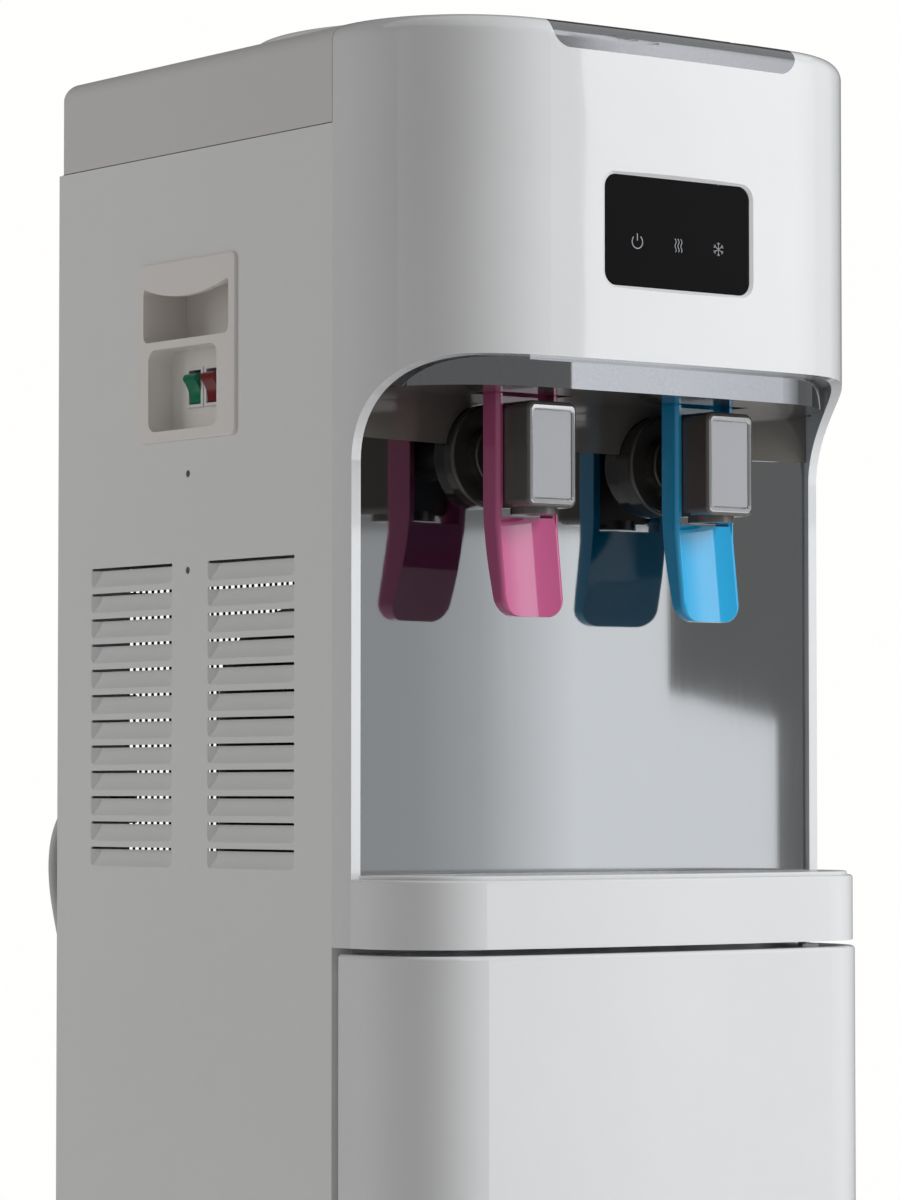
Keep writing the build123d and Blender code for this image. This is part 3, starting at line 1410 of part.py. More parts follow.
with BuildPart() as condenser:
    with BuildLine() as serpentine:
        for run in range(cond_runs):
            z = cond_low + run * cond_pitch
            left = cond_left + bend + cond_radius
            right = cond_right - bend - cond_radius
            Line((left, cond_y, z), (right, cond_y, z))
            if run < cond_runs - 1:
                side, reach = (right, bend) if run % 2 == 0 else (left, -bend)
                ThreePointArc(
                    (side, cond_y, z),
                    (side + reach, cond_y, z + bend),
                    (side, cond_y, z + cond_pitch),
                )
    start = (cond_left + bend + cond_radius, cond_y, cond_low)
    with BuildSketch(Plane(origin=start, z_dir=(1, 0, 0))):
        Circle(cond_radius)
    sweep(path=serpentine.wires()[0])
    wire_middle = (cond_left + cond_right) / 2
    for ahead in (-1, 1):
        with BuildSketch(Plane.XY.offset(cond_low - 8)):
            with Locations((wire_middle, cond_y + ahead * (cond_radius + wire_radius - 0.1))):
                with GridLocations(wire_pitch, 1, wire_count, 1):
                    Circle(wire_radius)
        extrude(amount=cond_high - cond_low + 16)
    arm_end = cond_y - cond_radius - 2 * wire_radius + 0.2
    for z in (cond_low + 3 * cond_pitch, cond_high - cond_pitch):
        for x_wall, x_wire in ((-half + 3, wire_middle - last_wire), (half - 3, wire_middle + last_wire)):
            edges = sorted((x_wall, x_wire))
            low = (edges[0], rear_y, z - 5)
            add(box_between(low, (edges[1], rear_y + 1.5, z + 5)))
            post = sorted((x_wire, x_wire + (6 if x_wall > 0 else -6)))
            add(box_between((post[0], rear_y, z - 5), (post[1], arm_end + 1.0, z + 5)))
save(condenser, "condenser")

drier_x = 104.0
drier_y = behind(150.0)
drier_low = 640.0
drier_high = 740.0
drier_radius = 10.0
with BuildPart() as filter_drier:
    with BuildSketch(Plane.XZ.offset(-drier_y)):
        with BuildLine():
            Polyline(
                (drier_x, drier_low),
                (drier_x + 3.5, drier_low),
                (drier_x + drier_radius, drier_low + 12),
                (drier_x + drier_radius, drier_high - 12),
                (drier_x + 3.5, drier_high),
                (drier_x, drier_high),
                close=True,
            )
        make_face()
    revolve(axis=Axis((drier_x, drier_y, 0), (0, 0, 1)))
save(filter_drier, "filter_drier")

# Tanks: cold tank in its foam jacket on the right, hot tank on the left
cold_low = tank_shelf_z + shelf_sheet + 26.0
cold_high = 950.0
coil_turns = 6
coil_pitch = 12.0
coil_low = cold_low + 36.0
jacket_inner = coil_radius + line_radius + 1.0
jacket_wall = 12.0
steel_wall = 1.5
jacket_low = tank_shelf_z + shelf_sheet
jacket_high = cold_high + 18.0
tail_y = behind(tail_end)
outlet_y = behind(56.0)
feed_x = cold_x + 20.0
feed_top = jacket_high + 6.0
link_y = behind(129.5)
link_z = cold_low + 9.0
link_left = cold_x - cold_radius - 24.0

with BuildPart() as cold_tank:
    with BuildSketch(Plane.XY.offset(cold_low)):
        with Locations((cold_x, cold_y)):
            Circle(cold_radius)
    extrude(amount=cold_high - cold_low)
    fillet(cold_tank.edges().group_by(Axis.Z)[0], 3.0)
    with BuildSketch(Plane.XY.offset(cold_low + steel_wall)):
        with Locations((cold_x, cold_y)):
            Circle(cold_radius - steel_wall)
    extrude(amount=cold_high - cold_low - 2 * steel_wall, mode=Mode.SUBTRACT)
    # three legs, the feed on top, the outlet to the tap and the link to the hot tank
    with BuildSketch(Plane.XY.offset(jacket_low)):
        with Locations((cold_x, cold_y)):
            with PolarLocations(cold_radius - 14, 3):
                Circle(5)
    extrude(amount=cold_low - jacket_low + 1)
    with BuildSketch(Plane.XY.offset(cold_high - 1)):
        with Locations((feed_x, cold_y)):
            Circle(tube_radius)
    extrude(amount=feed_top - cold_high + 1)
    with BuildSketch(Plane.XZ.offset(-outlet_y)):
        with Locations((tap_x, barrel_z)):
            Circle(tube_radius)
    extrude(amount=-(cold_y - cold_radius - outlet_y + 2))
    with BuildSketch(Plane.YZ.offset(link_left)):
        with Locations((link_y, link_z)):
            Circle(tube_radius)
    extrude(amount=26)
save(cold_tank, "cold_tank")

with BuildPart() as cold_jacket:
    with BuildSketch(Plane.XY.offset(jacket_low)):
        with Locations((cold_x, cold_y)):
            Circle(jacket_inner + jacket_wall)
    extrude(amount=jacket_high - jacket_low)
    with BuildSketch(Plane.XY.offset(jacket_low)):
        with Locations((cold_x, cold_y)):
            Circle(jacket_inner)
    extrude(amount=cold_high + 6 - jacket_low, mode=Mode.SUBTRACT)
    with BuildSketch(Plane.XY.offset(cold_high)):
        with Locations((feed_x, cold_y)):
            Circle(tube_radius + 0.5)
    extrude(amount=40, mode=Mode.SUBTRACT)
    with BuildSketch(Plane.XZ.offset(-outlet_y + 10)):
        with Locations((tap_x, barrel_z)):
            Circle(tube_radius + 0.5)
    extrude(amount=-40, mode=Mode.SUBTRACT)
    with BuildSketch(Plane.YZ.offset(link_left)):
        with Locations((link_y, link_z)):
            Circle(tube_radius + 0.5)
    extrude(amount=26, mode=Mode.SUBTRACT)
save(cold_jacket, "cold_jacket")

hot_x = drain_x
hot_y = behind(122.0)
hot_radius = 40.0
hot_low = tank_shelf_z + shelf_sheet + 14.0
hot_high = 950.0
hot_outlet_x = hot_x + 14.0
with BuildPart() as hot_tank:
    with BuildSketch(Plane.XY.offset(hot_low)):
        with Locations((hot_x, hot_y)):
            Circle(hot_radius)
    extrude(amount=hot_high - hot_low)
    fillet(hot_tank.edges().group_by(Axis.Z)[0], 8.0)
    fillet(hot_tank.edges().group_by(Axis.Z)[-1], 8.0)
    for band_z in (hot_low + 40, hot_low + 80):
        with BuildSketch(Plane.XY.offset(band_z)):
            with Locations((hot_x, hot_y)):
                Circle(hot_radius + 2.5)
        extrude(amount=26)
    with BuildSketch(Plane.XY.offset(jacket_low)):
        with Locations((hot_x, hot_y)):
            with PolarLocations(26, 3):
                Circle(5)
    extrude(amount=18)
    with BuildSketch(Plane.XY.offset(hot_high - 1)):
        with Locations((hot_x - 14, hot_y), (hot_outlet_x, hot_y)):
            Circle(tube_radius)
    extrude(amount=11)
    low = (hot_x - 8, hot_y - hot_radius - 7, hot_low + 112)
    add(box_between(low, (hot_x + 8, hot_y - hot_radius + 4, hot_low + 126)))
    with BuildSketch(Plane.XZ.offset(-hot_y)):
        with Locations((drain_x, drain_z)):
            Circle(drain_radius - 2)
    extrude(amount=-(rear_y - hot_y + 4))
    with BuildSketch(Plane.XZ.offset(-rear_y - 4)):
        with Locations((drain_x, drain_z)):
            Circle(drain_radius + 1.5)
    extrude(amount=-10)
    with BuildSketch(Plane.YZ.offset(hot_x)):
        with Locations((link_y, link_z)):
            Circle(tube_radius)
    extrude(amount=link_left - hot_x)
save(hot_tank, "hot_tank")

# Water tubes: pump to cold tank, cold tank to its tap, hot tank to its tap
tube_high = 1004.0
with BuildPart() as water_tubes:
    feed_route = [
        (hose_x, hose_y, shelf_top + pump_high + 8),
        (hose_x, hose_y, tube_high),
        (feed_x, cold_y, tube_high),
        (feed_x, cold_y, feed_top),
    ]
    add(tube(feed_route, tube_radius, "feed tube"))
    add(tube([(tap_x, outlet_y, barrel_z), (tap_x, tail_y, barrel_z)], tube_radius))
    hot_drop_y = behind(tail_end + 24)
    hot_route = [
        (hot_outlet_x, hot_y, hot_high + 10),
        (hot_outlet_x, hot_y, hot_high + 42),
        (-tap_x, hot_drop_y, hot_high + 42),
        (-tap_x, hot_drop_y, barrel_z),
        (-tap_x, tail_y, barrel_z),
    ]
    add(tube(hot_route, tube_radius, "hot tube"))
save(water_tubes, "water_tubes")

# Refrigerant lines: evaporator round the cold tank, suction, discharge and liquid lines
cond_start = (cond_left + bend + cond_radius, cond_y, cond_low)
cond_end = (cond_right - bend - cond_radius, cond_y, cond_high)
gap_y = rear_y + 9.0
riser_x = cond_right + 6.5
suction_y = comp_y - stub_offset
discharge_y = comp_y + stub_offset
with BuildPart() as refrigerant_lines:
    with BuildLine() as evaporator:
        Helix(coil_pitch, coil_turns * coil_pitch, coil_radius, center=(cold_x, cold_y, coil_low))
    with BuildSketch(Plane(origin=evaporator.line @ 0, z_dir=evaporator.line % 0)):
        Circle(line_radius)
    sweep(path=evaporator.wires()[0], is_frenet=True)
    suction_route = [
        (line_x, cold_y, coil_low + 0.5),
        (line_x, cold_y, comp_high - 10),
        (line_x - 4, suction_y + 2, suction_z + 14),
        (stub_end + 22, suction_y, suction_z),
        (stub_end, suction_y, suction_z),
    ]
    add(tube(suction_route, line_radius, "suction line"))
    discharge_route = [
        (stub_end, discharge_y, discharge_z),
        (stub_end + 18, discharge_y, discharge_z),
        (stub_end + 18, gap_y, discharge_z),
        (riser_x, gap_y, discharge_z + 4),
        (riser_x, gap_y, cond_high - 16),
        (riser_x, cond_y, cond_high),
        cond_end,
    ]
    add(tube(discharge_route, cond_radius, "discharge line"))
    liquid_route = [
        cond_start,
        (cond_left - 1, cond_y, cond_low),
        (cond_left - 1, gap_y, cond_low - 8),
        (cond_left + 26, behind(238.0), cond_low - 12),
        (stub_end + 2, behind(231.0), cond_low - 12),
        (stub_end + 21, behind(216.0), cond_low - 6),
        (stub_end + 23, behind(170.0), cond_low),
        (drier_x, drier_y, cond_low + 6),
        (drier_x, drier_y, drier_low),
    ]
    add(tube(liquid_route, cond_radius, "liquid line"))
    capillary_route = [
        (drier_x, drier_y, drier_high),
        (drier_x, drier_y, drier_high + 14),
        (line_x, cold_y, drier_high + 36),
        (line_x, cold_y, drier_high + 60),
    ]
    add(tube(capillary_route, 1.2, "capillary"))
save(refrigerant_lines, "refrigerant_lines")

# Power box for the thermostats and relays, on the machine shelf
with BuildPart() as power_box:
    add(box_between((88.0, behind(50.0), shelf_top), (140.0, behind(110.0), shelf_top + 34)))
    fillet(power_box.edges().filter_by(Axis.Z), 3.0)
    with BuildSketch(Plane.XY.offset(shelf_top + 34)):
        with Locations((114.0, behind(80.0))):
            with GridLocations(36, 44, 2, 2):
                Circle(3)
    extrude(amount=2)
save(power_box, "power_box")

# Power cord ------------------------------------------------------------------------------------

cord_diameter = 6.8
cord_radius = cord_diameter / 2
relief_length = 20.0
relief_flange = 9.0
with BuildPart() as strain_relief:
    with BuildSketch(Plane.XZ.offset(-rear_y)):
        with Locations((cord_x, cord_exit_z)):
            Circle(relief_flange)
    extrude(amount=-2.5)
    with BuildSketch(Plane.XZ.offset(-rear_y + 7)):
        with Locations((cord_x, cord_exit_z)):
            Circle(relief_hole - 0.1)
    extrude(amount=-7)
    with BuildSketch(Plane.XZ.offset(-rear_y - 2.5)):
        with Locations((cord_x, cord_exit_z)):
            Circle(relief_hole)
    with BuildSketch(Plane.XZ.offset(-rear_y - relief_length)):
        with Locations((cord_x, cord_exit_z)):
            Circle(cord_radius + 1.0)
    loft()
save(strain_relief, "strain_relief")

coil_outer = 46.0
coil_step = 3.7
coil_rise = 7.4
coil_start = (-76.0, 262.0, cord_radius)
relief_tip = rear_y + relief_length
cord_route = [
    (cord_x, relief_tip, cord_exit_z),
    (cord_x, 192.4, cord_exit_z),
    (-115.8, 208.9, 642.6),
    (-116.3, 218.4, 626.2),
    (-116.6, 219.0, 604.0),
    (-116.0, 211.5, 577.0),
    (-114.5, 200.8, 545.0),
    (-112.5, 193.2, 500.0),
    (-110.8, 190.0, 445.0),
    (-109.5, 189.0, 385.0),
    (-108.0, 189.6, 322.0),
    (-106.0, 190.8, 258.0),
    (-103.5, 192.4, 194.0),
    (-100.0, 194.4, 136.0),
    (-95.0, 197.0, 90.0),
    (-90.0, 201.0, 57.0),
    (-85.0, 209.0, 30.0),
    (-80.5, 223.0, 11.5),
    (-77.2, 241.0, 3.8),
    coil_start,
]
with BuildPart() as power_cord:
    add(tube(cord_route, cord_radius, "power cord"))
save(power_cord, "power_cord")

# The unseen length is wound into a neat coil: four half turns in, a climb, then out again.
half_turns_in = 4
half_turns_out = 3
radii_in = [coil_outer - coil_step * k for k in range(half_turns_in)]
climb_radius = coil_outer - coil_step * half_turns_in
radii_out = [climb_radius + coil_step * (k + 1) for k in range(half_turns_out)]


def coil_path():
    """Half turns as (start, way, kind, radius), and the points along them for the gap test."""
    position = Vector(*coil_start)
    side = -1
    turns = []
    for radius in radii_in:
        turns.append((position, side, "flat", radius))
        position = position + Vector(-side * 2 * radius, 0, 0)
        side = -side
    turns.append((position, side, "climb", climb_radius))
    position = position + Vector(-side * 2 * climb_radius, 0, coil_rise)
    side = -side
    for radius in radii_out:
        turns.append((position, side, "flat", radius))
        position = position + Vector(-side * 2 * radius, 0, 0)
        side = -side
    return turns, position, side


turns, coil_end, end_side = coil_path()
last_radius = radii_out[-1] + coil_step
tail_length = 64.0
plug_z = 19.2
with BuildPart() as power_coil:
    with BuildLine() as winding:
        for start, side, kind, radius in turns:
            # side -1 stands on the left and heads to the rear, side 1 the other way round
            heading = Vector(0, -side, 0)
            rise = coil_rise if kind == "climb" else 0.0
            bulge = sqrt(radius**2 + rise**2 / 4)
            crest = start + Vector(-side * radius, 0, rise / 2) + heading * bulge
            end = start + Vector(-side * 2 * radius, 0, rise)
            first = TangentArc(start, crest, tangent=heading)
            TangentArc(crest, end, tangent=first % 1)
        # last quarter turn, then a low rise to the plug
        heading = Vector(0, -end_side, 0)
        quarter = coil_end + Vector(-end_side * last_radius, 0, 0) + heading * last_radius
        leave = TangentArc(coil_end, quarter, tangent=heading)
        away = Vector(-end_side, 0, 0)
        plug_start = quarter + away * tail_length + Vector(0, 0, plug_z - quarter.Z)
        middle = (quarter + plug_start) * 0.5
        lift = TangentArc(quarter, middle, tangent=away)
        TangentArc(middle, plug_start, tangent=lift % 1)
    coil_wire = winding.wires()[0]
    with BuildSketch(Plane(origin=coil_start, z_dir=(0, 1, 0))):
        Circle(cord_radius)
    sweep(path=coil_wire)
save(power_coil, "power_coil")

samples = [coil_wire.position_at(i / 600) for i in range(601)]
spacing = coil_wire.length / 600
skip = int(6 * cord_diameter / spacing)
least = min(
    (samples[i] - samples[j]).length
    for i in range(0, 601, 2)
    for j in range(i + skip, 601, 2)
)
print("coil length", round(coil_wire.length), "least gap", round(least - cord_diameter, 2))

plug_radius = 19.0
plug_body = 34.0
plug_grip = 20.0
prong_radius = 2.4
prong_gap = 19.0
plug_x = plug_start.X
with BuildPart() as power_plug:
    with BuildSketch(Plane(origin=plug_start, z_dir=away)):
        Circle(cord_radius + 1.4)
    with BuildSketch(Plane(origin=plug_start + away * plug_grip, z_dir=away)):
        Circle(11.0)
    loft()
    with BuildSketch(Plane(origin=plug_start + away * plug_grip, z_dir=away)):
        Circle(plug_radius)
    extrude(amount=plug_body - plug_grip)
    with BuildSketch(Plane(origin=plug_start + away * plug_body, z_dir=away, x_dir=(0, 1, 0))):
        with GridLocations(prong_gap, 1, 2, 1):
            Circle(prong_radius)
    extrude(amount=19)
save(power_plug, "power_plug")
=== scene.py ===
import bmesh
import bpy
from math import cos, pi, radians, sin
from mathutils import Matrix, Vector


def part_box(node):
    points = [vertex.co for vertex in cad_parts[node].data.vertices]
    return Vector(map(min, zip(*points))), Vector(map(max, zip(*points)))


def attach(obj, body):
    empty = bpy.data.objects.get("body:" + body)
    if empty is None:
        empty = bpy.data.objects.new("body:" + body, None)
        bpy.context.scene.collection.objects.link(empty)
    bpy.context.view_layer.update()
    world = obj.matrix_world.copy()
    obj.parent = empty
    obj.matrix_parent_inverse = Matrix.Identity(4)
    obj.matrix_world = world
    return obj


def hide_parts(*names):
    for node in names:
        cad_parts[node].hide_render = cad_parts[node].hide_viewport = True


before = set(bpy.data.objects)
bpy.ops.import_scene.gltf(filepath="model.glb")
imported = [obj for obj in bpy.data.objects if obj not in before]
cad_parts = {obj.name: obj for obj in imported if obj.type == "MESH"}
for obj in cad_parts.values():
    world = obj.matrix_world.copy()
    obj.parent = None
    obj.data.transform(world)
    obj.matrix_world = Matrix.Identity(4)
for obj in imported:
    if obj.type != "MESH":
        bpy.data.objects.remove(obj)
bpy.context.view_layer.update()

# ---- View -----------------------------------------------------------------
# The upper half of the cooler, seen from its left front corner at the height
# of the taps, with a long lens that stays level enough to keep uprights upright.
view = bpy.data.cameras.new("view")
view.sensor_fit = "AUTO"
view.sensor_width = 36.0
view.lens = 137.26
view.clip_end = 60.0
eye = bpy.data.objects.new("view", view)
eye.location = (-1.48915, -1.94368, 0.65321)
eye.rotation_euler = (radians(92.42), 0.0, radians(-37.34))
bpy.context.collection.objects.link(eye)
bpy.context.scene.camera = eye
bpy.context.scene.view_settings.view_transform = "Standard"


# ---- Mains lead -----------------------------------------------------------
# A round three-core lead in soft grey PVC. It leaves the rear panel through a
# ribbed relief, hangs down behind the cabinet and is put away in a coil.
class Wire:
    """A socket of a finish. Arithmetic on it adds the Math nodes."""

    def __init__(self, finish, socket):
        self.finish = finish
        self.socket = socket

    def math(self, operation, first, second):
        return self.finish.node("Math", {"operation": operation}, {0: first, 1: second})

    def __add__(self, other):
        return self.math("ADD", self, other)

    def __radd__(self, other):
        return self.math("ADD", other, self)

    def __sub__(self, other):
        return self.math("SUBTRACT", self, other)

    def __rsub__(self, other):
        return self.math("SUBTRACT", other, self)

    def __mul__(self, other):
        return self.math("MULTIPLY", self, other)

    def __rmul__(self, other):
        return self.math("MULTIPLY", other, self)


class Finish:
    """A material: its shader's constants and the nodes that vary it."""

    def __init__(self, owner, constants=()):
        owner.use_nodes = True
        self.owner = owner
        self.tree = owner.node_tree
        wanted = ("BSDF_PRINCIPLED", "BACKGROUND")
        self.shader = next(n for n in self.tree.nodes if n.type in wanted)
        self.feed(self.shader, dict(constants))

    def feed(self, node, sockets):
        for socket, value in sockets.items():
            target = node.inputs[socket]
            if isinstance(value, Wire):
                self.tree.links.new(value.socket, target)
            elif target.type == "RGBA":
                target.default_value = (*value[:3], 1.0)
            else:
                target.default_value = value

    def node(self, kind, settings, sockets, output=0):
        made = self.tree.nodes.new("ShaderNode" + kind)
        for setting, value in settings.items():
            if setting == "stops":
                ramp = made.color_ramp.elements
                while len(ramp) < len(value):
                    ramp.new(0.5)
                for stop, (position, level) in zip(ramp, value):
                    stop.position = position
                    stop.color = (level, level, level, 1.0)
            else:
                setattr(made, setting, value)
        self.feed(made, sockets)
        return Wire(self, made.outputs[output])

    def place(self, stretch=(1.0, 1.0, 1.0)):
        """Object coordinates in metres, stretched along each axis."""
        spot = self.node("TexCoord", {}, {}, "Object")
        if stretch == (1.0, 1.0, 1.0):
            return spot
        return self.node("VectorMath", {"operation": "MULTIPLY"}, {0: spot, 1: stretch})

    def noise(self, scale, detail=2.0, stretch=(1.0, 1.0, 1.0)):
        sockets = {"Vector": self.place(stretch), "Scale": scale, "Detail": detail}
        return self.node("TexNoise", {}, sockets)

    def ramp(self, value, *stops):
        return self.node("ValToRGB", {"stops": stops}, {"Fac": value})

    def tint(self, mask, low, high):
        """The colour low where the mask is 0, and high where it is 1."""
        return self.node("Mix", {"data_type": "RGBA"}, {0: mask, 6: low, 7: high}, 2)

    def relief(self, height, depth):
        """Raises the surface by depth metres where height is 1."""
        bump = self.node("Bump", {}, {"Height": height, "Distance": depth, "Strength": 1.0})
        self.feed(self.shader, {"Normal": bump})

    def surface(self, **sockets):
        """Varies the shader's colour, roughness and the like."""
        named = {name.replace("_", " "): value for name, value in sockets.items()}
        self.feed(self.shader, named)
        return self

    def on(self, *nodes):
        """Puts the finish on the nodes' own material slots."""
        for name in nodes:
            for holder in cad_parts[name].material_slots:
                holder.material = self.owner
        return self


def shade(colour, share):
    """The colour with each of its parts times share."""
    return tuple(part * share for part in colour[:3])


def moulded(name, colour, roughness, peel=0.00001, **constants):
    """A moulded plastic or rubber: cloudy pigment, uneven gloss, fine skin."""
    sockets = {key.replace("_", " "): value for key, value in constants.items()}
    made = Finish(bpy.data.materials.new(name), sockets)
    cloud = made.noise(14.0, 3.0)
    skin = made.noise(900.0, 2.0)
    made.surface(
        Base_Color=made.tint(cloud, shade(colour, 0.965), shade(colour, 1.03)),
        Roughness=roughness * 0.86 + 0.28 * roughness * made.noise(55.0, 4.0),
    )
    made.relief(skin, peel)
    return made


lead_radius = 0.0034
lead_points = [
    (-0.1155, 0.1754, 0.652),
    (-0.1155, 0.1924, 0.652),
    (-0.1158, 0.2089, 0.6426),
    (-0.1163, 0.2184, 0.6262),
    (-0.1166, 0.219, 0.604),
    (-0.116, 0.2115, 0.577),
    (-0.1145, 0.2008, 0.545),
    (-0.1125, 0.1932, 0.5),
    (-0.1108, 0.19, 0.445),
    (-0.1095, 0.189, 0.385),
    (-0.108, 0.1896, 0.322),
    (-0.106, 0.1908, 0.258),
    (-0.1035, 0.1924, 0.194),
    (-0.1, 0.1944, 0.136),
    (-0.095, 0.197, 0.09),
    (-0.09, 0.201, 0.057),
    (-0.085, 0.209, 0.03),
    (-0.0805, 0.223, 0.0115),
    (-0.0772, 0.241, 0.0038),
]
side, turning = -0.076, 1
coil_y, coil_low, coil_high = 0.262, lead_radius, 0.0108
first_degrees, step_degrees = 15, 30
# Half turns, as radius, height at both ends, and number of points. The lead is wound
# inwards, climbs, and is wound outwards. The eighth has three of its six points, so
# the lead cuts across the coil there, which the CAD route doesn't do.
half_turns = [
    (0.046, coil_low, coil_low, 6),
    (0.0423, coil_low, coil_low, 6),
    (0.0386, coil_low, coil_low, 6),
    (0.0349, coil_low, coil_low, 6),
    (0.0312, coil_low, coil_high, 6),
    (0.0349, coil_high, coil_high, 6),
    (0.0386, coil_high, coil_high, 6),
    (0.0423, coil_high, coil_high, 3),
    (0.046, coil_high, coil_high, 3),
]
for radius, start_z, end_z, count in half_turns:
    middle = side + turning * radius
    reach = radius / cos(radians(first_degrees))
    for step in range(count):
        degrees = first_degrees + step_degrees * step
        angle = radians(degrees)
        x = middle - turning * reach * cos(angle)
        y = coil_y + turning * reach * sin(angle)
        z = start_z + (end_z - start_z) * degrees / 180
        lead_points.append((x, y, z))
    side, turning = side + 2 * turning * radius, -turning
lead_points += [
    (-0.024, 0.308, 0.0108),
    (-0.006, 0.308, 0.0112),
    (0.012, 0.308, 0.0188),
    (0.026, 0.308, 0.0192),
    (0.034, 0.308, 0.0192),
]
lead_line = bpy.data.curves.new("mains_lead", "CURVE")
lead_line.dimensions = "3D"
lead_line.bevel_depth = lead_radius
lead_line.bevel_resolution = 5
lead_line.resolution_u = 8
lead_line.use_fill_caps = True
strand = lead_line.splines.new("NURBS")
strand.points.add(len(lead_points) - 1)
for point, spot in zip(strand.points, lead_points):
    point.co = (*spot, 1.0)
strand.order_u = 3
strand.use_endpoint_u = True
lead = bpy.data.objects.new("mains_lead", lead_line)
bpy.context.collection.objects.link(lead)
lead_grey = (0.58, 0.58, 0.56)
pvc = moulded("soft grey PVC", lead_grey, 0.42)
lead_line.materials.append(pvc.owner)
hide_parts("power_cord", "power_coil")
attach(lead, "cabinet")
pvc.on("power_plug")
moulded("black nylon relief", (0.018, 0.018, 0.019), 0.38).on("strain_relief")


# ---- Cabinet sheets -------------------------------------------------------
# The two side panels, with their pressed louvres, and the shallow top cover.
# Folded 1 mm steel, powder coated a warm white that dries with a fine peel.
def coated(name, colour, roughness, peel):
    """Powder-coated sheet: an even coat with a fine orange peel."""
    made = Finish(bpy.data.materials.new(name), {"Specular IOR Level": 0.5})
    cloud = made.noise(5.0, 3.0)
    coat = made.noise(420.0, 3.0)
    made.surface(
        Base_Color=made.tint(cloud, shade(colour, 0.975), shade(colour, 1.02)),
        Roughness=roughness - 0.05 + 0.1 * made.noise(160.0, 3.0),
    )
    made.relief(coat, peel)
    return made


coated("warm white powder coat", (0.79, 0.785, 0.78), 0.38, 0.00003).on(
    "side_panel_left", "side_panel_right"
)
coated("pale grey powder coat", (0.685, 0.668, 0.66), 0.34, 0.00003).on("top_cover")


# ---- Round lid ------------------------------------------------------------
# The low round cap on the top cover, left over from the bottle seat of the
# top-load body. Glossy white ABS, lifted off by hand.
moulded("glossy white lid", (0.89, 0.89, 0.892), 0.2, 0.000006).on("top_lid")


# ---- Front bezel ----------------------------------------------------------
# Head and both columns, moulded in one piece in glossy white ABS. Clipped to
# the side panels all along the seam.
white = (0.80, 0.80, 0.805)
moulded(
    "glossy white bezel",
    white,
    0.045,
    0.000001,
    Specular_IOR_Level=1.0,
    Coat_Weight=0.6,
    Coat_Roughness=0.015,
).on("front_panel")


# ---- Silver trim ----------------------------------------------------------
# The silver insert in the head's top edge, and the bowed strip under the head.
# ABS sprayed with a metallic lacquer, the strip polished almost to a mirror.
def lacquered(name, colour, roughness, metal):
    """Metallic lacquer: fine flakes under a clear coat."""
    made = Finish(bpy.data.materials.new(name), {"Coat Roughness": 0.05, "Coat Weight": 0.2})
    flakes = made.noise(2600.0, 1.0)
    sparkle = made.ramp(flakes, (0.42, 0.0), (0.62, 1.0))
    made.surface(
        Base_Color=made.tint(sparkle, shade(colour, 0.93), shade(colour, 1.08)),
        Metallic=metal,
        Roughness=0.8 * roughness + 0.4 * roughness * made.noise(120.0, 2.0),
    )
    made.relief(flakes, 0.00003 * roughness)
    return made


lacquered("silver trim lacquer", (0.34, 0.345, 0.355), 0.15, 1.0).on("top_trim")
lacquered("silver strip lacquer", (0.34, 0.35, 0.365), 0.014, 1.0).on("head_strip")


# ---- Touch window ---------------------------------------------------------
# A black acrylic panel set into the head. Three generic marks, for power, hot
# and cold, are printed on it in pale grey.
black = Finish(
    bpy.data.materials.new("black acrylic"),
    {"Specular IOR Level": 0.03, "Coat Weight": 0.0},
)
smear = black.noise(9.0, 4.0)
black.surface(
    Base_Color=black.tint(smear, (0.0055, 0.0055, 0.006), (0.008, 0.008, 0.0085)),
    Roughness=0.05 + 0.07 * smear,
)
black.relief(black.noise(300.0, 1.0), 0.000002)
black.on("display_window")

window_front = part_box("display_window")[0].y
ink_height = 0.00004
marks_z = 0.930
power_x, heat_x, cold_x = -0.0266, 0.0004, 0.027


def stroke(mesh, points, width, closed=False):
    """A flat printed line of that width through points on the window."""
    count = len(points)
    rails = []
    for i, (x, z) in enumerate(points):
        before = points[i - 1] if closed or i else points[i]
        after = points[(i + 1) % count] if closed or i < count - 1 else points[i]
        run = Vector((after[0] - before[0], after[1] - before[1])).normalized()
        shift = Vector((-run.y, run.x)) * width / 2
        rails.append((
            mesh.verts.new((x - shift.x, window_front - ink_height, z - shift.y)),
            mesh.verts.new((x + shift.x, window_front - ink_height, z + shift.y)),
        ))
    for i in range(count if closed else count - 1):
        (a, b), (c, d) = rails[i], rails[(i + 1) % count]
        mesh.faces.new((a, c, d, b))


marks = bmesh.new()
ring_radius, power_line = 0.0034, 0.0005
ring = []
for degrees in range(38, 323, 12):
    angle = radians(degrees)
    ring.append((power_x + ring_radius * sin(angle), marks_z + ring_radius * cos(angle)))
stroke(marks, ring, power_line)
stroke(marks, [(power_x, marks_z + 0.0006), (power_x, marks_z + 0.0042)], power_line)

wave_gap, wave_swing, wave_step, wave_line = 0.0019, 0.0004, 0.00034, 0.0004
wave_low = 0.0034
for offset in (-wave_gap, 0.0, wave_gap):
    wave = [
        (heat_x + offset + wave_swing * sin(step * pi / 6), marks_z - wave_low + step * wave_step)
        for step in range(21)
    ]
    stroke(marks, wave, wave_line)

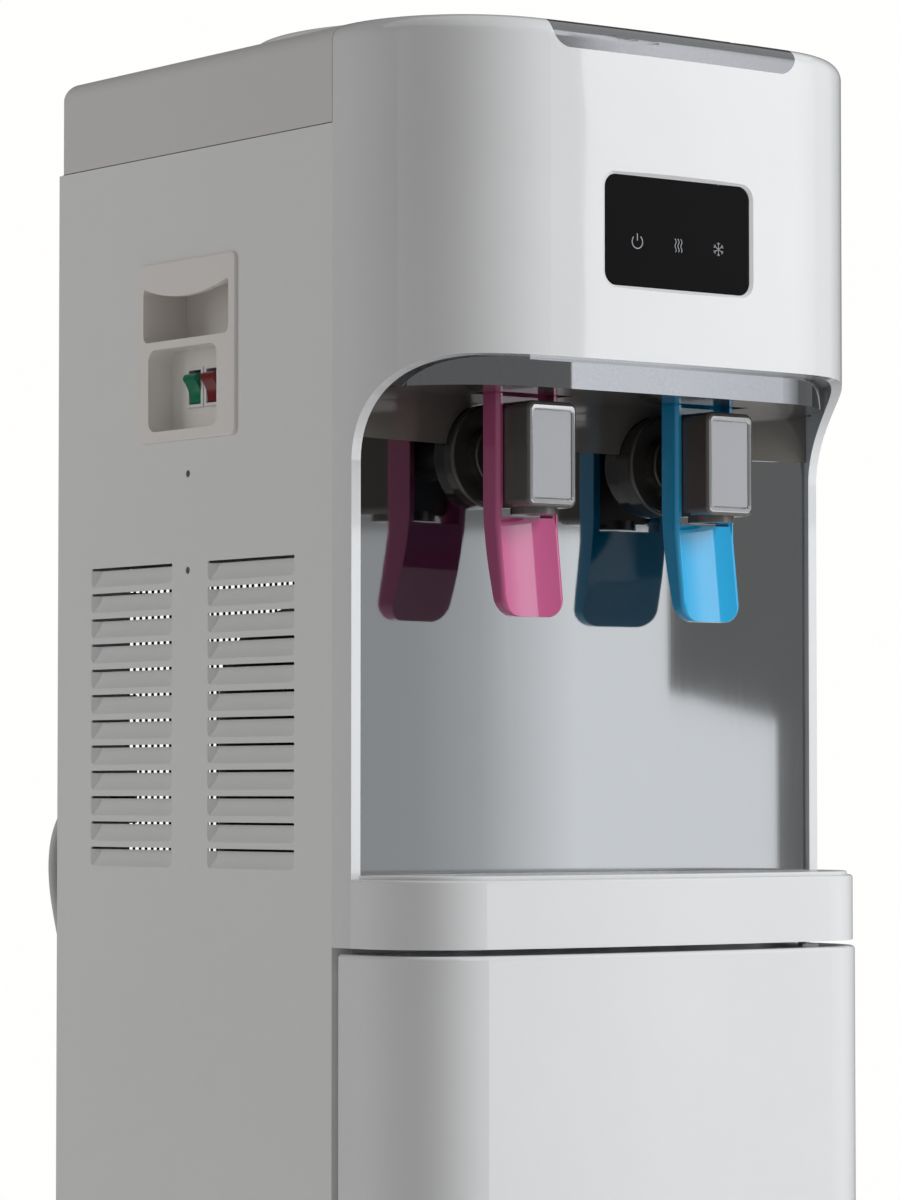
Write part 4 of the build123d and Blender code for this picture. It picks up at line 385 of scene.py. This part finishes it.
spoke_length, spoke_line, barb_line = 0.0035, 0.00032, 0.00028
barb_root, barb_tip, barb_width = 0.0023, 0.0032, 0.0009
for spoke in range(6):
    angle = radians(60 * spoke + 30)
    along, across = (cos(angle), sin(angle)), (-sin(angle), cos(angle))
    end = (cold_x + spoke_length * along[0], marks_z + spoke_length * along[1])
    stroke(marks, [(cold_x, marks_z), end], spoke_line)
    for hand in (-1, 1):
        root = (cold_x + barb_root * along[0], marks_z + barb_root * along[1])
        tip = (
            cold_x + barb_tip * along[0] + hand * barb_width * across[0],
            marks_z + barb_tip * along[1] + hand * barb_width * across[1],
        )
        stroke(marks, [root, tip], barb_line)

printed = bmesh.ops.extrude_face_region(marks, geom=marks.faces[:])
back = [v for v in printed["geom"] if isinstance(v, bmesh.types.BMVert)]
bmesh.ops.translate(marks, verts=back, vec=(0.0, ink_height, 0.0))
bmesh.ops.recalc_face_normals(marks, faces=marks.faces[:])
mark_mesh = bpy.data.meshes.new("window_marks")
marks.to_mesh(mark_mesh)
marks.free()
window_marks = bpy.data.objects.new("window_marks", mark_mesh)
bpy.context.collection.objects.link(window_marks)
ink = moulded("pale grey ink", (0.42, 0.43, 0.45), 0.5, 0.000001)
mark_mesh.materials.append(ink.owner)
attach(window_marks, "cabinet")


# ---- Control board --------------------------------------------------------
# The board behind the window. Glass-fibre laminate with a green solder mask
# over fine copper tracks.
board = Finish(bpy.data.materials.new("green solder mask"), {"Specular IOR Level": 0.5})
lanes = board.node(
    "TexBrick",
    {"offset": 0.37, "squash": 0.7},
    {"Vector": board.place(), "Scale": 110.0, "Mortar Size": 0.035, "Color1": (0, 0, 0),
     "Color2": (0, 0, 0), "Mortar": (1, 1, 1)},
)
board.surface(
    Base_Color=board.tint(lanes, (0.008, 0.085, 0.028), (0.03, 0.19, 0.065)),
    Roughness=0.28 + 0.1 * board.noise(70.0),
)
board.relief(lanes, 0.00003)
board.on("control_board")


# ---- Head underside -------------------------------------------------------
# The dark shroud that closes the head from below, around the taps. Glossy
# taupe ABS with a little metal in it, which mirrors the taps faintly.
shroud = moulded(
    "glossy taupe shroud",
    (0.18, 0.165, 0.15),
    0.12,
    0.000006,
    Coat_Weight=0.6,
    Coat_Roughness=0.05,
)
shroud.surface(Metallic=0.35)
shroud.on("ceiling_shroud")


# ---- Niche wall -----------------------------------------------------------
# The curved wall behind the cups. A thin sheet rolled to its arc, with a
# silver finish polished almost to a mirror and a faint upright grain.
wall = Finish(bpy.data.materials.new("polished silver sheet"), {"Metallic": 1.0})
grain = wall.noise(700.0, 2.0, (1.0, 1.0, 0.02))
haze = wall.noise(11.0, 3.0)
wall.surface(
    Base_Color=wall.tint(haze, (0.37, 0.38, 0.385), (0.40, 0.41, 0.415)),
    Roughness=0.025 + 0.03 * haze + 0.02 * grain,
)
wall.relief(grain, 0.0000015)
wall.on("niche_wall")


# ---- Taps -----------------------------------------------------------------
# Two short square taps with round bosses on the wall. Bodies in taupe lacquer,
# a chrome-plated frame round each face, and a satin grey plate inside it.
lacquered("taupe lacquer", (0.17, 0.158, 0.147), 0.24, 0.55).on("tap_bodies")
lacquered("dark boss lacquer", (0.085, 0.08, 0.075), 0.14, 0.6).on("tap_bosses")


def plated(name, colour, roughness, stretch=(1.0, 1.0, 1.0), scale=300.0, depth=0.000001):
    """Bare or plated metal: its grain runs along the axis stretched least."""
    made = Finish(bpy.data.materials.new(name), {"Metallic": 1.0})
    lines = made.noise(scale, 3.0, stretch)
    breath = made.noise(25.0, 3.0)
    made.surface(
        Base_Color=made.tint(breath, shade(colour, 0.95), shade(colour, 1.04)),
        Roughness=roughness * 0.8 + 0.3 * roughness * breath + 0.15 * roughness * lines,
    )
    made.relief(lines, depth)
    return made


plated("tap chrome", (0.83, 0.83, 0.84), 0.07).on("tap_face_frames")
plated("satin grey plate", (0.47, 0.475, 0.49), 0.36, (1.0, 1.0, 0.03), 900.0, 0.000004).on(
    "tap_face_plates"
)


# ---- Levers and plungers --------------------------------------------------
# The two push levers hang in front of the wall, pink for hot, blue for cold.
# Glossy dyed polycarbonate on steel pins, with the valve plungers behind them.
for lever_name, dye in (("hot_lever", (0.60, 0.095, 0.27)), ("cold_lever", (0.0, 0.44, 0.84))):
    moulded(
        lever_name + " polycarbonate",
        dye,
        0.06,
        0.000003,
        IOR=1.62,
        Specular_IOR_Level=0.8,
        Coat_Weight=0.7,
        Coat_Roughness=0.02,
    ).on(lever_name)
plated("bright steel pin", (0.55, 0.55, 0.54), 0.25).on("lever_pins")
moulded("white acetal", (0.72, 0.72, 0.71), 0.35).on("hot_plunger", "cold_plunger")


# ---- Drip tray ------------------------------------------------------------
# A shallow white drawer that slides forward, and the slotted grid on it. Both
# in glossy white ABS.
moulded("glossy white tray", white, 0.17, 0.000006, Coat_Weight=0.2, Coat_Roughness=0.06).on(
    "drip_tray"
)
moulded("white slotted grid", white, 0.24, 0.000008).on("drip_grid")


# ---- Bottle door ----------------------------------------------------------
# The tall bowed door over the bottle bay: glossy white skin, ribbed liner, a
# soft magnetic gasket, and a steel strike for the catch.
moulded("glossy white door", white, 0.16, 0.000006, Coat_Weight=0.25, Coat_Roughness=0.05).on(
    "door_panel"
)
moulded("white liner", (0.72, 0.72, 0.715), 0.36, 0.00002).on("door_liner")
moulded("pale gasket vinyl", (0.60, 0.60, 0.59), 0.48, 0.00002).on("door_gasket")
plated("zinc-plated steel", (0.52, 0.525, 0.53), 0.3, (1.0, 0.08, 1.0), 500.0).on(
    "door_strike", "hinge_pins", "hinge_brackets", "panel_screws"
)
moulded("white catch housing", (0.70, 0.70, 0.69), 0.4).on("magnet_catch")


# ---- Side inserts ---------------------------------------------------------
# The grip recess on each side, with the well for the two switches on the left.
# Moulded in a pale warm grey and snapped into the panel.
moulded("pale warm grey ABS", (0.81, 0.775, 0.745), 0.3, 0.00001).on(
    "switch_insert", "grip_insert"
)
moulded("white switch frame", (0.76, 0.755, 0.745), 0.3).on("switch_bodies")
moulded("green rocker", (0.0, 0.17, 0.085), 0.14, 0.000003).on("cold_rocker")
moulded("dark red rocker", (0.17, 0.012, 0.012), 0.14, 0.000003).on("hot_rocker")


# ---- Base, shelves and rear sheets ----------------------------------------
# The pan, the two shelves, the rear panel and its upper cover. Galvanised
# steel, with the zinc's broad dull crystals, on four black rubber feet.
zinc = Finish(bpy.data.materials.new("galvanised sheet"), {"Metallic": 0.9})
crystals = zinc.node("TexVoronoi", {}, {"Vector": zinc.place(), "Scale": 95.0}, 1)
tone = zinc.node("RGBToBW", {}, {0: crystals})
zinc.surface(
    Base_Color=zinc.tint(tone, (0.42, 0.43, 0.44), (0.54, 0.55, 0.56)),
    Roughness=0.34 + 0.16 * tone,
)
zinc.relief(zinc.noise(300.0), 0.00001)
zinc.on("base_plate", "rear_panel", "rear_cover", "machine_shelf", "tank_shelf")
moulded("black rubber", (0.022, 0.022, 0.022), 0.6, 0.00003).on(
    "levelling_feet", "compressor_mounts"
)


# ---- Bottle bay -----------------------------------------------------------
# The moulded bay floor, the probe that goes down the bottle's neck, and the
# clear hose that draws its water up to the pump.
moulded("white polypropylene", (0.70, 0.70, 0.695), 0.38, 0.00002).on(
    "bay_floor", "bottle_probe", "hose_clips", "water_pump", "power_box"
)
moulded(
    "clear silicone",
    (0.74, 0.76, 0.77),
    0.2,
    Transmission_Weight=0.55,
    IOR=1.41,
).on("suction_hose", "water_tubes")


# ---- Refrigeration --------------------------------------------------------
# The compressor and the wire condenser are stoved black; the drier and the
# lines are bare copper, dulled where they were brazed.
coated("black stove enamel", (0.014, 0.014, 0.015), 0.2, 0.00004).on("compressor", "condenser")
copper = Finish(bpy.data.materials.new("dulled copper"), {"Metallic": 1.0})
tarnish = copper.ramp(copper.noise(38.0, 5.0), (0.42, 0.0), (0.66, 1.0))
copper.surface(
    Base_Color=copper.tint(tarnish, (0.72, 0.33, 0.19), (0.33, 0.14, 0.075)),
    Roughness=0.22 + 0.25 * tarnish,
)
copper.relief(copper.noise(700.0), 0.000003)
copper.on("filter_drier", "refrigerant_lines")


# ---- Tanks ----------------------------------------------------------------
# Welded stainless tanks for cold and hot water. The cold one stands in a
# jacket of white bead foam with its evaporator coil.
plated("drawn stainless", (0.56, 0.555, 0.545), 0.26, (1.0, 1.0, 0.05), 600.0, 0.000003).on(
    "cold_tank", "hot_tank"
)
foam = Finish(bpy.data.materials.new("white bead foam"), {"Specular IOR Level": 0.25})
beads_and_rim_shade = foam.node("TexVoronoi", {}, {"Vector": foam.place(), "Scale": 260.0}, 0)
# The same Voronoi distance shapes the beads and darkens the colour from 0.72 to 0.56 towards each
# bead's rim, where the relief sinks into grooves: painted shade between the beads.
foam.surface(
    Base_Color=foam.tint(beads_and_rim_shade, (0.72, 0.72, 0.70), (0.56, 0.56, 0.54)),
    Roughness=0.75 + 0.2 * beads_and_rim_shade,
)
foam.relief(1.0 - beads_and_rim_shade, 0.0004)
foam.on("cold_jacket")


# ---- Studio ---------------------------------------------------------------
# A pale floor, two tall soft panels at the right front that the glossy parts
# mirror, a dim card round the front and one overhead, two broad lamps, and a
# little even light from all round.
def backdrop(name, corners, faces, finish, **seen):
    """A sheet of the studio, which isn't part of the cooler."""
    sheet = bpy.data.meshes.new(name)
    sheet.from_pydata(corners, [], faces)
    sheet.materials.append(finish.owner)
    made = bpy.data.objects.new(name, sheet)
    bpy.context.collection.objects.link(made)
    for ray, shown in seen.items():
        setattr(made, "visible_" + ray, shown)


paper = moulded("pale floor", (0.80, 0.80, 0.80), 0.7, 0.00001)
floor_half = 3
floor_corners = [
    (-floor_half, -floor_half, 0),
    (floor_half, -floor_half, 0),
    (floor_half, floor_half, 0),
    (-floor_half, floor_half, 0),
]
backdrop("floor", floor_corners, [(0, 1, 2, 3)], paper)

glow = {"Base Color": (0, 0, 0), "Roughness": 1.0, "Emission Strength": 1.0}
mirrored_only = {"camera": False, "diffuse": False, "shadow": False}
arc_y = -0.08


def glowing(name, radiance, reach, stations):
    """An upright soft panel on an arc of radius reach.

    Each station is its azimuth, bottom, top and share of the radiance.
    """
    light = Finish(bpy.data.materials.new(name), glow)
    across = light.node("SeparateXYZ", {}, {0: light.place()}, 0)
    level = 1.0
    for near, far in zip(stations, stations[1:]):
        if near[3] != far[3]:
            ends = [reach * sin(radians(station[0])) for station in (near, far)]
            sockets = {0: across, 1: ends[0], 2: ends[1], 3: 1.0, 4: far[3] / near[3]}
            level = light.node("MapRange", {}, sockets) * level
    light.surface(Emission_Color=light.tint(level, (0, 0, 0), radiance))
    corners = []
    for azimuth, low, high, _ in stations:
        angle = radians(azimuth)
        for z in (low, high):
            corners.append((reach * sin(angle), arc_y - reach * cos(angle), z))
    faces = [(2 * i, 2 * i + 2, 2 * i + 3, 2 * i + 1) for i in range(len(stations) - 1)]
    backdrop(name, corners, faces, light, **mirrored_only)


panel_bottom, panel_step, panel_top = 0.02, 0.756, 0.916
lower_stations = [
    (21.0, panel_bottom, 0.726, 1.0),
    (29.8, panel_bottom, panel_step, 1.0),
    (29.81, panel_bottom, panel_top, 1.0),
    (38.0, panel_bottom, panel_top, 1.0),
    (47.0, panel_bottom, panel_top, 0.54),
    (53.0, panel_bottom, panel_top, 0.42),
    (66.0, panel_bottom, panel_top, 0.38),
    (80.0, panel_bottom, panel_top, 0.34),
]
upper_stations = [
    (azimuth, 1.03, 2.4, share)
    for azimuth, share in ((31.6, 1.0), (40.0, 0.97), (48.0, 0.85), (58.0, 0.5), (68.0, 0.25))
]
card_stations = [(azimuth, 0.0, 2.6, 1.0) for azimuth in range(-86, 96, 10)]
panel_reach, card_reach = 2.2, 2.35
glowing("lower_panel", (1.42, 1.45, 1.49), panel_reach, lower_stations)
glowing("upper_panel", (1.45, 1.47, 1.52), panel_reach, upper_stations)
glowing("front_card", (0.24, 0.24, 0.24), card_reach, card_stations)

overhead = Finish(bpy.data.materials.new("overhead card"), glow)
patches = overhead.tint(overhead.noise(0.6), (0.47, 0.47, 0.47), (0.55, 0.55, 0.55))
overhead.surface(Emission_Color=patches)
overhead_z = 2.7
overhead_corners = [
    (-2.0, -3.0, overhead_z),
    (2.4, -3.0, overhead_z),
    (2.4, 0.6, overhead_z),
    (-2.0, 0.6, overhead_z),
]
backdrop("overhead_card", overhead_corners, [(0, 1, 2, 3)], overhead, **mirrored_only)


def soft_lamp(name, size, energy, spot, target, colour=(1.0, 1.0, 1.0)):
    """A broad lamp at spot, aimed at target, that no surface mirrors."""
    light = bpy.data.lights.new(name, "AREA")
    light.shape = "RECTANGLE"
    light.size, light.size_y = size
    light.energy = energy
    light.color = colour
    lamp = bpy.data.objects.new(name, light)
    lamp.location = spot
    aim = Vector(target) - lamp.location
    lamp.rotation_euler = aim.to_track_quat("-Z", "Y").to_euler()
    lamp.visible_glossy = False
    lamp.visible_camera = False
    bpy.context.collection.objects.link(lamp)


key_white = (0.97, 0.985, 1.0)
soft_lamp("key", (1.3, 1.8), 68.0, (1.72, -2.01, 2.0), (0.0, -0.1, 0.75), key_white)
soft_lamp("side", (1.4, 1.8), 18.0, (-1.95, 1.85, 1.3), (-0.15, 0.0, 0.8))

room = Finish(bpy.data.worlds.new("room"), {"Color": (1.0, 0.995, 0.985)})
bpy.context.scene.world = room.owner
straight = room.node("LightPath", {}, {}, "Is Camera Ray")
through = room.node("LightPath", {}, {}, "Is Transmission Ray")
mirrored = room.node("LightPath", {}, {}, "Is Glossy Ray")
around = room.node("LightPath", {}, {}, "Is Diffuse Ray")
room.surface(Strength=straight + through + 0.09 * mirrored + 0.25 * around)
